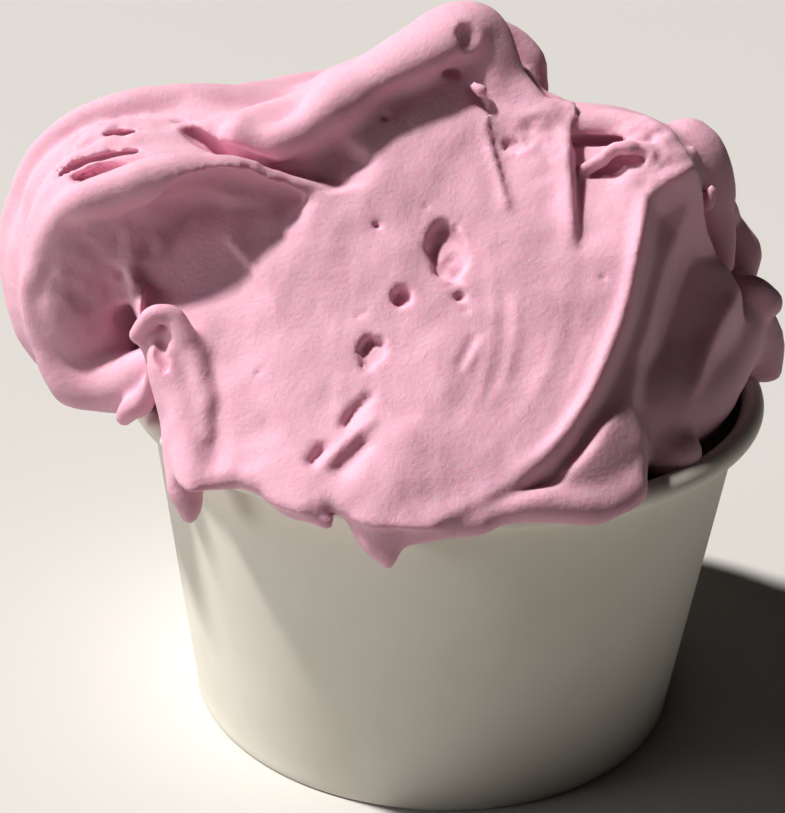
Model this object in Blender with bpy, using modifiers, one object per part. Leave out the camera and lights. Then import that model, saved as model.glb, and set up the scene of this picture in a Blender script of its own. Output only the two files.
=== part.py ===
"""Gelato cup: a white paper cup with a rolled rim, filled and heaped with spatula-spread gelato.

Metres, +Z up, origin in the middle of the base of the whole. The front of the heap faces -Y.
"""

import math

import bmesh
import bpy
from mathutils import Euler, Matrix, Vector

MM = 0.001

# Driving dimensions of the cup
RIM_RADIUS = 46 * MM
FOOT_RADIUS = 37 * MM
CUP_HEIGHT = 52 * MM
BEAD_RADIUS = 1.65 * MM
WALL = 0.6 * MM
FOOT_RECESS = 5 * MM
FOOT_WALL = 1.3 * MM
CUP_SEGMENTS = 64
BEAD_STEPS = 10

# Fit of the gelato in the cup
CLEARANCE = 0.3 * MM
CORE_TOP = CUP_HEIGHT + 6 * MM

# The sloping front face that the layers lie on
FACE_MIDDLE = Vector((0, -21, 77)) * MM
FACE_TILT = math.radians(45)
LAYER_ROUNDING = 1.3 * MM

# Fineness of the faceted gelato
VOXEL = 1.0 * MM
SMOOTHING_ROUNDS = 4
KEPT_SHARE = 0.1

WALL_TOP_RADIUS = RIM_RADIUS - 2 * BEAD_RADIUS + WALL / 2
WALL_TOP = CUP_HEIGHT - 2 * BEAD_RADIUS
SLOPE = (WALL_TOP_RADIUS - FOOT_RADIUS) / WALL_TOP

# Lumps are given by centre and half sizes in mm and the turn about X, Y and Z in degrees, and
# strokes by points in mm with a radius in mm at each. Both are about the cup's axis.
HEAP_LUMPS = {
    "heap": ((0, 1, 55), (43, 40, 18), (0, 0, 0)),
    "front_swell": ((-4, -14, 65), (34, 34, 12), (45, 0, 0)),
    "crest": ((0, 10, 70), (34, 24, 21), (0, 0, 0)),
    "right_shoulder": ((25, 5, 69), (14, 20, 18.5), (0, 0, 0)),
    "right_bulge": ((34, 2, 58), (15, 19, 11), (0, -20, 0)),
    "left_neck": ((-26, 7, 70), (20, 17, 17), (0, 0, 0)),
    "back_left": ((-18, 20, 64), (24, 18, 20), (0, 0, 0)),
    "back_right": ((14, 20, 65), (22, 18, 19), (0, 0, 0)),
}
HEAP_STROKES = {
    "roll_body": [
        (-26, 0, 80, 8), (-34, 0, 78, 9.5), (-43, 0, 73, 13), (-49, 0, 67, 14), (-51, -2, 60, 12), (-49, -6, 54, 8),
    ],
    "outer_lip": [
        (-31, 6, 86, 3), (-42, 4, 87.5, 2.8), (-51, 3, 85.5, 2.8), (-58, 2, 80, 2.8), (-62, 1, 70, 3),
        (-60, -2, 61, 3), (-57.5, -5, 58, 2.8),
    ],
}
HOLLOWS = {
    "roll_hollow": ((-42, -23, 68), (14.5, 13.5, 14.5), (0, 0, 0)),
    "hollow_behind_lip": ((-33, -17, 76), (10, 11, 8), (0, 0, 10)),
    "curl_slit": ((-46, -9, 86), (9, 1.4, 4), (0, 10, 0)),
}
FOLD_STROKES = {
    "inner_lip": [
        (-15, -19, 83, 1.2), (-22.5, -18, 85, 1.8), (-30.5, -16, 85.5, 2.5), (-38.5, -15, 84, 2.4),
        (-46.5, -15, 81, 2.2), (-52.5, -15, 77.5, 2.1), (-55, -15, 71.5, 2.1), (-56, -15.5, 64.5, 2.1),
        (-53.5, -16.5, 57.5, 2.5), (-50, -18.5, 53, 2.6), (-42, -22, 54, 2.4),
    ],
    "lip_web": [
        (-17, -14, 82, 2), (-32, -10, 82.5, 3.5), (-48, -9, 78, 4.5), (-54, -9, 68, 4.5), (-52, -11, 58, 4.5),
        (-47, -14, 54, 4),
    ],
    "saddle": [(-44, 8, 84, 4.5), (-30, 9, 84.5, 4.5), (-17, 10, 86.5, 5)],
    "saddle_front": [(-36, 2, 84, 3.5), (-30, -2, 84, 4), (-24, -3, 85, 5), (-16, -1, 88, 5.5)],
    "peak_ridge": [
        (-29, -8, 87, 2.8), (-22, -9, 88.5, 3.6), (-15.5, -6, 91.5, 4.6), (-9.5, -2, 94.5, 6), (-2, 2, 97.5, 7.2),
        (4, 4, 95, 6), (8.5, 6, 91, 4.6),
    ],
    "top_fold_rim": [
        (5.5, -8, 90, 3.2), (15, -7.5, 88.8, 3.2), (24.5, -6, 87.5, 2.9), (30.5, -6, 83, 2.7), (31.5, -8, 80, 2.2),
    ],
    "right_mass": [(33.5, 5, 84, 5.5), (35, 3, 79, 6), (36.5, 0, 74.5, 5), (38, -3, 70.5, 3)],
    "right_knob": [(42.5, 2, 66.5, 2.5), (44.5, 3, 62.5, 4.8), (45, 3, 57, 5.5), (44.5, 0, 52, 4.5)],
}
FOLD_LUMPS = {
    "peak_back": ((-4, 10, 88), (18, 11, 11), (0, -15, 0)),
    "top_fold": ((20, 3, 80), (15, 13, 10.5), (0, 0, 0)),
    "back_knob": ((38, 9, 76), (4.5, 5, 5), (0, 0, 0)),
    "side_knob": ((40, 8, 70), (6, 6, 6), (0, 0, 0)),
}
DRIP_STROKES = {
    "left_drip": [
        (-34, -26, 65, 2.6), (-33.7, -29.5, 59, 3.2), (-33.3, -32, 54.5, 3.1), (-32.5, -34.3, 50.5, 2.5),
        (-32, -36, 47, 1.9), (-32, -36.5, 45, 1.5),
    ],
    "small_drip": [(-21, -36, 54, 3), (-19, -41, 51.3, 2.6), (-15.5, -45, 51, 1.8), (-13.5, -47, 50.5, 1.5)],
    "front_drip": [(-7, -38, 54, 4), (-7.5, -43.5, 50, 3.6), (-7, -45.5, 47.5, 2.6), (-6, -47, 45, 1.2)],
    "low_hem": [(1, -43, 52.5, 2), (12.5, -42.5, 53.5, 2), (19, -39.5, 54, 2.2), (24.5, -34, 56, 2.2)],
}
DRIP_LUMPS = {
    "low_bulge": ((18, -33.5, 55), (9.5, 7, 5), (25, 0, 20)),
    "low_bump": ((30.5, -26.5, 52.8), (6, 5, 3.8), (10, 0, 40)),
}
PITS = {
    "large_pit": ((-1, -20.8, 77), (2.8, 5.2, 3), (45, 0, -12)),
    "round_pit": ((-6, -25.6, 72.4), (1.9, 1.9, 2), (45, 0, 0)),
    "lower_pit": ((-9, -31.3, 66.7), (2.2, 2.4, 2), (45, 0, 0)),
}

# Layers spread over the sloping front: outline across and up the slope in mm, lift and half thickness
LAYERS = {
    "front_layer": (
        [(-20, 9), (-12, 17), (4, 19), (16, 20), (26, 15), (26, -4), (22, -16), (12, -27), (2, -35), (-6, -39),
         (-14, -33), (-22, -30), (-33, -28), (-35, -14), (-30, 0)],
        -3.4, 2.4,
    ),
    "second_layer": (
        [(0, 14), (22, 17), (30, 13), (31.5, 4), (28, -6), (24, -18), (14, -27), (0, -20)], -7.4, 2.4,
    ),
    "third_layer": (
        [(10, 14), (27, 18), (36, 10), (39, 2), (35, -11), (29, -21), (16, -24), (8, -5)], -12.0, 3.4,
    ),
}


def clear_scene():
    """Remove every object of the start-up scene."""
    for obj in list(bpy.data.objects):
        bpy.data.objects.remove(obj, do_unlink=True)


def new_collection(name, hidden=False):
    """Make a collection under the scene's own one."""
    collection = bpy.data.collections.new(name)
    bpy.context.scene.collection.children.link(collection)
    collection.hide_render = hidden
    return collection


def new_object(name, data, collection):
    """Link a new object that holds the data."""
    obj = bpy.data.objects.new(name, data)
    collection.objects.link(obj)
    return obj


def material(name, colour, roughness):
    """A Principled material with a plain colour."""
    made = bpy.data.materials.new(name)
    made.use_nodes = True
    shader = made.node_tree.nodes["Principled BSDF"]
    shader.inputs["Base Color"].default_value = (*colour, 1.0)
    shader.inputs["Roughness"].default_value = roughness
    shader.inputs["Metallic"].default_value = 0.0
    made.diffuse_color = (*colour, 1.0)
    return made


def turned(name, profile, collection, segments=CUP_SEGMENTS):
    """Turn a profile of (radius, height) points about Z; one that doesn't start on the axis is a ring's."""
    mesh = bpy.data.meshes.new(name)
    edges = [(i, i + 1) for i in range(len(profile) - 1)]
    if profile[0][0] > 0:
        edges.append((len(profile) - 1, 0))
    mesh.from_pydata([(radius, 0, height) for radius, height in profile], edges, [])
    obj = new_object(name, mesh, collection)
    screw = obj.modifiers.new("Turn", "SCREW")
    screw.steps = segments
    screw.render_steps = segments
    screw.use_merge_vertices = True
    screw.merge_threshold = 0.00001
    screw.use_normal_calculate = True
    return obj


def wall_radius(height):
    """Outer radius of the cup's wall at a height."""
    return FOOT_RADIUS + SLOPE * height


def bead(clearance=0.0):
    """Points of the rolled rim, from its inner side over the top to under its outer side."""
    centre = RIM_RADIUS - BEAD_RADIUS
    start, end = math.radians(205), math.radians(-75)
    points = []
    for i in range(BEAD_STEPS + 1):
        angle = start + (end - start) * i / BEAD_STEPS
        radius = BEAD_RADIUS + clearance
        points.append((centre + radius * math.cos(angle), CUP_HEIGHT - BEAD_RADIUS + radius * math.sin(angle)))
    return points


def cup_profile():
    """Section of the cup: floor, inner wall, rolled rim, outer wall and the folded foot."""
    floor = FOOT_RECESS + WALL
    inner_foot = wall_radius(floor) - WALL
    return [
        (0, floor),
        (inner_foot - 1 * MM, floor),
        (inner_foot, floor + 1 * MM),
        *bead(),
        (wall_radius(WALL_TOP - 0.4 * MM), WALL_TOP - 0.4 * MM),
        (wall_radius(WALL_TOP / 2), WALL_TOP / 2),
        (FOOT_RADIUS + 0.2 * MM, 0.5 * MM),
        (FOOT_RADIUS - 0.2 * MM, 0),
        (FOOT_RADIUS - FOOT_WALL, 0),
        (FOOT_RADIUS - FOOT_WALL, FOOT_RECESS),
        (0, FOOT_RECESS),
    ]


def envelope_profile():
    """Section of the cup's wall and rim grown by the clearance, which cuts their room out of the gelato."""
    bottom = -1 * MM
    return [
        (wall_radius(0) - WALL - CLEARANCE - 2 * MM, bottom),
        (wall_radius(FOOT_RECESS + 2 * MM) - WALL - CLEARANCE, FOOT_RECESS + 2 * MM),
        *bead(CLEARANCE),
        (wall_radius(WALL_TOP - 1 * MM) + CLEARANCE, WALL_TOP - 1 * MM),
        (FOOT_RADIUS + CLEARANCE, bottom),
    ]


def skirt_profile():
    """Section of the ring below the rim, where no lump may reach past the wall."""
    outer = RIM_RADIUS + 1.5 * MM
    return [
        (wall_radius(0) - WALL / 2, -1 * MM),
        (wall_radius(WALL_TOP) - WALL / 2, WALL_TOP),
        (outer, WALL_TOP),
        (outer, -1 * MM),
    ]


def core_profile():
    """Section of the gelato inside the cup, up to a little over the rim."""
    floor = FOOT_RECESS + WALL + CLEARANCE
    top_radius = wall_radius(WALL_TOP) - WALL - CLEARANCE
    return [
        (0, CORE_TOP),
        (top_radius - 2 * MM, CORE_TOP),
        (top_radius, WALL_TOP),
        (wall_radius(floor + 2 * MM) - WALL - CLEARANCE, floor + 2 * MM),
        (wall_radius(floor) - WALL - CLEARANCE - 1.5 * MM, floor),
        (0, floor),
    ]


def lump(name, centre, half_sizes, turn, collection):
    """An ellipsoid of gelato, as a scaled and turned sphere."""
    mesh = bpy.data.meshes.new(name)
    shape = bmesh.new()
    bmesh.ops.create_uvsphere(shape, u_segments=40, v_segments=20, radius=1.0)
    bmesh.ops.scale(shape, vec=Vector(half_sizes) * MM, verts=shape.verts)
    bmesh.ops.rotate(shape, matrix=Euler([math.radians(a) for a in turn]).to_matrix(), verts=shape.verts)
    shape.to_mesh(mesh)
    shape.free()
    obj = new_object(name, mesh, collection)
    obj.location = Vector(centre) * MM
    return obj


def welded(guide, name, collection):
    """Make a curve a closed mesh of its own and remove the curve."""
    bpy.context.view_layer.update()
    mesh = bpy.data.meshes.new_from_object(guide.evaluated_get(bpy.context.evaluated_depsgraph_get()))
    shape = bmesh.new()
    shape.from_mesh(mesh)
    bmesh.ops.remove_doubles(shape, verts=shape.verts, dist=0.00001)
    bmesh.ops.recalc_face_normals(shape, faces=shape.faces)
    shape.to_mesh(mesh)
    shape.free()
    obj = new_object(name, mesh, collection)
    obj.matrix_world = guide.matrix_world
    bpy.data.objects.remove(guide)
    return obj


def stroke(name, points, collection):
    """A smooth tapering stroke through points with a radius at each, as a bevelled curve."""
    curve = bpy.data.curves.new(name, "CURVE")
    curve.dimensions = "3D"
    curve.bevel_depth = 1.0 * MM
    curve.bevel_resolution = 4
    curve.resolution_u = 8
    curve.use_fill_caps = True
    spline = curve.splines.new("NURBS")
    spline.points.add(len(points) - 1)
    spline.use_endpoint_u = True
    spline.order_u = 3
    for point, (x, y, z, radius) in zip(spline.points, points):
        point.co = (x * MM, y * MM, z * MM, 1.0)
        point.radius = radius
    return welded(new_object(name + "_guide", curve, collection), name, collection)


def layer(name, outline, lift, half_thickness, collection):
    """A layer spread on the slope, as a filled outline that is made thick and rounded at its edge."""
    curve = bpy.data.curves.new(name, "CURVE")
    curve.dimensions = "2D"
    curve.fill_mode = "BOTH"
    curve.bevel_depth = LAYER_ROUNDING
    curve.bevel_resolution = 3
    curve.extrude = half_thickness * MM - LAYER_ROUNDING
    curve.resolution_u = 4
    spline = curve.splines.new("NURBS")
    spline.points.add(len(outline) - 1)
    spline.use_cyclic_u = True
    spline.order_u = 3
    for point, (across, up) in zip(spline.points, outline):
        point.co = (across * MM, up * MM, 0.0, 1.0)
    guide = new_object(name + "_guide", curve, collection)
    tilt = Matrix.Rotation(FACE_TILT, 4, "X")
    guide.matrix_world = Matrix.Translation(FACE_MIDDLE) @ tilt @ Matrix.Translation((0, 0, lift * MM))
    return welded(guide, name, collection)


def boolean(obj, operation, solver, other=None, collection=None):
    """Add a Boolean modifier with one object or a collection."""
    modifier = obj.modifiers.new(operation.title(), "BOOLEAN")
    modifier.operation = operation
    modifier.solver = solver
    if collection is None:
        modifier.object = other
    else:
        modifier.operand_type = "COLLECTION"
        modifier.collection = collection
    return modifier


def apply_modifiers(obj):
    """Bake the modifiers into the object's own mesh."""
    bpy.context.view_layer.update()
    mesh = bpy.data.meshes.new_from_object(obj.evaluated_get(bpy.context.evaluated_depsgraph_get()))
    obj.modifiers.clear()
    obj.data = mesh


def remove_all(collection):
    """Remove a collection with its objects."""
    for obj in list(collection.objects):
        bpy.data.objects.remove(obj, do_unlink=True)
    bpy.data.collections.remove(collection)


def make_cup(parts):
    """The paper cup, one turned solid."""
    cup = turned("paper_cup", cup_profile(), parts)
    apply_modifiers(cup)
    cup.data.materials.append(material("white_paper", (0.86, 0.85, 0.81), 0.55))
    return cup


def join_step(gelato, operation, lumps, strokes, layers=None, skirt=False):
    """Join or cut one group of shapes by a Boolean on their collection, apply it and drop the group."""
    group = new_collection("group")
    for name, (centre, half_sizes, turn) in lumps.items():
        lump(name, centre, half_sizes, turn, group)
    for name, points in strokes.items():
        stroke(name, points, group)
    for name, (outline, lift, half_thickness) in (layers or {}).items():
        layer(name, outline, lift, half_thickness, group)
    if skirt:
        turned("skirt", skirt_profile(), group)
    boolean(gelato, operation, "MANIFOLD", collection=group)
    apply_modifiers(gelato)
    remove_all(group)


def make_gelato(parts):
    """The gelato: core, lumps, strokes and layers joined, hollowed, softened and cut clear of the cup."""
    gelato = turned("gelato", core_profile(), parts)
    join_step(gelato, "UNION", HEAP_LUMPS, HEAP_STROKES)
    join_step(gelato, "DIFFERENCE", HOLLOWS, {})
    join_step(gelato, "UNION", FOLD_LUMPS, FOLD_STROKES, layers=LAYERS)
    join_step(gelato, "DIFFERENCE", PITS, {}, skirt=True)
    join_step(gelato, "UNION", DRIP_LUMPS, DRIP_STROKES)

    remesh = gelato.modifiers.new("Soften", "REMESH")
    remesh.mode = "VOXEL"
    remesh.voxel_size = VOXEL
    smooth = gelato.modifiers.new("Smooth", "SMOOTH")
    smooth.iterations = SMOOTHING_ROUNDS
    decimate = gelato.modifiers.new("Facets", "DECIMATE")
    decimate.ratio = KEPT_SHARE
    apply_modifiers(gelato)

    cutters = new_collection("cutters", hidden=True)
    envelope = turned("cup_room", envelope_profile(), cutters)
    envelope.hide_render = True
    envelope.display_type = "WIRE"
    boolean(gelato, "DIFFERENCE", "EXACT", other=envelope)
    apply_modifiers(gelato)
    gelato.data.materials.append(material("berry_gelato", (0.72, 0.36, 0.47), 0.45))
    return gelato


def centre_on_base(pieces):
    """Move the pieces so that the middle of their common box is on the Z axis."""
    corners = [vert.co for piece in pieces for vert in piece.data.vertices]
    middle = Vector((
        (min(co.x for co in corners) + max(co.x for co in corners)) / 2,
        (min(co.y for co in corners) + max(co.y for co in corners)) / 2,
        0,
    ))
    for piece in pieces:
        piece.data.transform(Matrix.Translation(-middle))


def main():
    """Build the cup and its gelato."""
    clear_scene()
    parts = new_collection("gelato_cup")
    cup = make_cup(parts)
    gelato = make_gelato(parts)
    centre_on_base([cup, gelato])


main()
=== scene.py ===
"""Looks of the gelato cup: a sculpted heap of berry gelato in a white paper cup.

The gelato is sculpted as a field of distances in millimetres about the cup's axis, from lumps, strokes
and a spread front face with its relief, and the field's zero surface becomes the mesh.
"""
import logging
import math
from dataclasses import dataclass, field
from enum import Enum

import bmesh
import bpy
import numpy as np
from mathutils import Matrix, Vector


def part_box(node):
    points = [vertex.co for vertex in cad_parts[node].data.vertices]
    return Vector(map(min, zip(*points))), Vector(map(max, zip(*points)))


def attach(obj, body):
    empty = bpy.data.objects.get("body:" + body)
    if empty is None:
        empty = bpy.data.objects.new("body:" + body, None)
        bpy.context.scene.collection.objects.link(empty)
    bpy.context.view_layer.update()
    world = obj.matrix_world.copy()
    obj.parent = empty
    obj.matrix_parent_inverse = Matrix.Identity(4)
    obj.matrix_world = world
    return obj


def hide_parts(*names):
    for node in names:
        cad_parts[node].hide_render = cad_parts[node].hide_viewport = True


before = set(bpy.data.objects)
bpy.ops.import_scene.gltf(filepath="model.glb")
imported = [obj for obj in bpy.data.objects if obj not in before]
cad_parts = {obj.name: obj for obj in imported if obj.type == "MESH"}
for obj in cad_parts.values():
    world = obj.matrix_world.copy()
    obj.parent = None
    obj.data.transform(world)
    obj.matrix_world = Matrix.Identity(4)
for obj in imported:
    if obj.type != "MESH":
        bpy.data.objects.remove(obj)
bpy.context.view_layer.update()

MM = 0.001
LOG = logging.getLogger("gelato_cup")
PICTURE_GAMMA = 0.84

Point = tuple[float, float, float]
Bead = tuple[float, float, float, float]
Spot = tuple[float, float]


class Work(Enum):
    """What a lump or stroke does to the gelato."""

    ADD = "add"
    CARVE = "carve"


def soft_min(first: np.ndarray, second: np.ndarray, blend: float | np.ndarray) -> np.ndarray:
    """Join two distances with a fillet.

    Args:
        first: Distances to one shape.
        second: Distances to the other shape.
        blend: Width of the fillet, in mm.

    Returns:
        The joined distances.
    """
    near = np.maximum(blend - np.abs(first - second), 0.0) / blend
    return np.minimum(first, second) - near * near * blend * 0.25


def soft_max(first: np.ndarray, second: np.ndarray, blend: float | np.ndarray) -> np.ndarray:
    """Intersect two distances with a rounded edge; the arguments are those of soft_min."""
    return -soft_min(-first, -second, blend)


def smooth_step(values: np.ndarray) -> np.ndarray:
    """Ease values from 0 to 1."""
    held = np.clip(values, 0.0, 1.0)
    return held * held * (3.0 - 2.0 * held)


@dataclass(frozen=True)
class Grain:
    """Smooth random unevenness from a seeded lattice."""

    seed: int
    size: float

    def sample(self, points: np.ndarray) -> np.ndarray:
        """Read the unevenness.

        Args:
            points: Places in mm, one row each, of 2 or 3 columns.

        Returns:
            Values from about -1 to 1.
        """
        sides = 32
        shape = (sides,) * points.shape[1]
        lattice = np.random.default_rng(self.seed).uniform(-1.0, 1.0, shape).astype(np.float32)
        scaled = points / self.size
        low = np.floor(scaled).astype(np.int64)
        part = smooth_step(scaled - low)
        total = np.zeros(len(points), np.float32)
        for corner in range(2 ** points.shape[1]):
            bits = [(corner >> axis) & 1 for axis in range(points.shape[1])]
            share = np.ones(len(points), np.float32)
            for axis, bit in enumerate(bits):
                share = share * (part[:, axis] if bit else 1.0 - part[:, axis])
            cell = tuple((low[:, axis] + bit) % sides for axis, bit in enumerate(bits))
            total += lattice[cell] * share
        return total


def path_points(points: np.ndarray, steps: int) -> np.ndarray:
    """Round a path off by a smooth cubic curve through its points.

    Args:
        points: The path's points, one row each.
        steps: Steps between two points.

    Returns:
        The points of the rounded path.
    """
    padded = np.vstack([2 * points[0] - points[1], points, 2 * points[-1] - points[-2]])
    rows = []
    for i in range(len(points) - 1):
        before, start, end, after = padded[i:i + 4]
        for share in np.arange(steps) / steps:
            rows.append(0.5 * (
                2 * start + (end - before) * share
                + (2 * before - 5 * start + 4 * end - after) * share ** 2
                + (3 * start - before - 3 * end + after) * share ** 3
            ))
    rows.append(points[-1])
    return np.array(rows)


@dataclass(frozen=True)
class Lump:
    """An ellipsoid of gelato, or a hollow of that shape.

    Sizes are half lengths in mm, and turns are about X, Y and Z in degrees.
    """

    centre: Point
    sizes: Point
    turns: Point = (0.0, 0.0, 0.0)
    blend: float = 3.0
    work: Work = Work.ADD

    def reach(self) -> float:
        """How far from the centre the lump matters."""
        return max(self.sizes) + self.blend + 2.0

    def box(self) -> tuple[np.ndarray, np.ndarray]:
        """Lowest and highest corner of what the lump can change."""
        centre = np.array(self.centre)
        return centre - self.reach(), centre + self.reach()

    def distance(self, points: np.ndarray) -> np.ndarray:
        """Measure how far points are from the lump's surface, roughly.

        Args:
            points: Places in mm, one row each.

        Returns:
            The distances in mm, negative inside.
        """
        turn = Matrix.Rotation(math.radians(self.turns[2]), 3, "Z")
        turn = turn @ Matrix.Rotation(math.radians(self.turns[1]), 3, "Y")
        turn = turn @ Matrix.Rotation(math.radians(self.turns[0]), 3, "X")
        local = (points - np.array(self.centre)) @ np.array(turn)
        scaled = local / np.array(self.sizes)
        near = np.linalg.norm(scaled, axis=1)
        steep = np.linalg.norm(scaled / np.array(self.sizes), axis=1)
        return near * (near - 1.0) / np.maximum(steep, 1e-6)


@dataclass(frozen=True)
class Stroke:
    """A tapering stroke of gelato along a rounded path, with a radius at each point.

    It is flattened along one direction where squeeze is over 1.
    """

    beads: tuple[Bead, ...]
    blend: float = 2.0
    work: Work = Work.ADD
    squeeze: float = 1.0
    across: Point = (0.0, 0.0, 1.0)
    steps: int = 4

    def box(self) -> tuple[np.ndarray, np.ndarray]:
        """Find the box of what the stroke can change.

        Returns:
            Its lowest and highest corner, in mm.
        """
        beads = np.array(self.beads)
        reach = beads[:, 3].max() + self.blend + 2.0
        return beads[:, :3].min(0) - reach, beads[:, :3].max(0) + reach

    def distance(self, points: np.ndarray) -> np.ndarray:
        """Measure how far points are from the stroke's surface.

        Args:
            points: Places in mm, one row each.

        Returns:
            The distances in mm, negative inside.
        """
        path = path_points(np.array(self.beads), self.steps).astype(np.float32)
        across = np.array(self.across, np.float32)
        across = across / np.linalg.norm(across)
        nearest = np.full(len(points), 1e3, np.float32)
        for start, end in zip(path[:-1], path[1:]):
            along = end[:3] - start[:3]
            offset = points - start[:3]
            share = np.clip(offset @ along / max(float(along @ along), 1e-9), 0.0, 1.0)
            offset = offset - share[:, None] * along
            if self.squeeze > 1.0:
                offset = offset + (self.squeeze - 1.0) * (offset @ across)[:, None] * across
            radius = start[3] + (end[3] - start[3]) * share
            nearest = np.minimum(nearest, np.sqrt((offset * offset).sum(1)) - radius)
        return nearest


@dataclass(frozen=True)
class RoughPatch:
    """A round place where the gelato was torn: centre, reach, depth and size of its grain, in mm."""

    centre: Point
    reach: float
    depth: float
    size: float

    def lift(self, points: np.ndarray) -> np.ndarray:
        """Find how far the roughness moves the surface.

        Args:
            points: Places in mm, one row each.

        Returns:
            The moves in mm, nought out of the patch's reach.
        """
        away = np.linalg.norm(points - np.array(self.centre), axis=1) / self.reach
        inner = 0.375
        share = 1.0 - smooth_step((away - inner) / (1.0 - inner))
        moved = np.zeros(len(points), np.float32)
        near = np.flatnonzero(share > 0)
        if len(near):
            coarse = Grain(31, self.size).sample(points[near])
            fine = Grain(32, self.size * 0.5).sample(points[near])
            moved[near] = self.depth * share[near] * (coarse + 0.5 * fine)
        return moved


@dataclass(frozen=True)
class Relief:
    """A ridge or groove drawn on the front face, in mm across and down the slope.

    A shelf is wide on one side, its right where the shelf is positive, and fades along its path.
    """

    path: tuple[Spot, ...]
    height: float
    width: float
    shelf: float = 0.0
    steps: int = 5
    end_share: float = 0.2
    shelf_fade: float = 1.5


@dataclass(frozen=True)
class Mound:
    """A low swelling beside the top layer: its middle, half sizes and height, in mm."""

    spot: Spot
    sizes: Spot
    height: float


@dataclass(frozen=True)
class Pit:
    """A pit with steep sides and a ragged rim: its middle, half sizes, turn in degrees and depth in mm."""

    spot: Spot
    sizes: Spot
    turn: float
    depth: float


@dataclass(frozen=True)
class Layer:
    """One of the front's spread layers, with the rounded edge where it falls to the next.

    It follows a share of the top's spread and lies a drop below it, in mm; the slope is the fall past
    its edge.
    """

    outline: tuple[Spot, ...]
    share: float
    drop: float
    rounding: float
    slope: float


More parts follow.
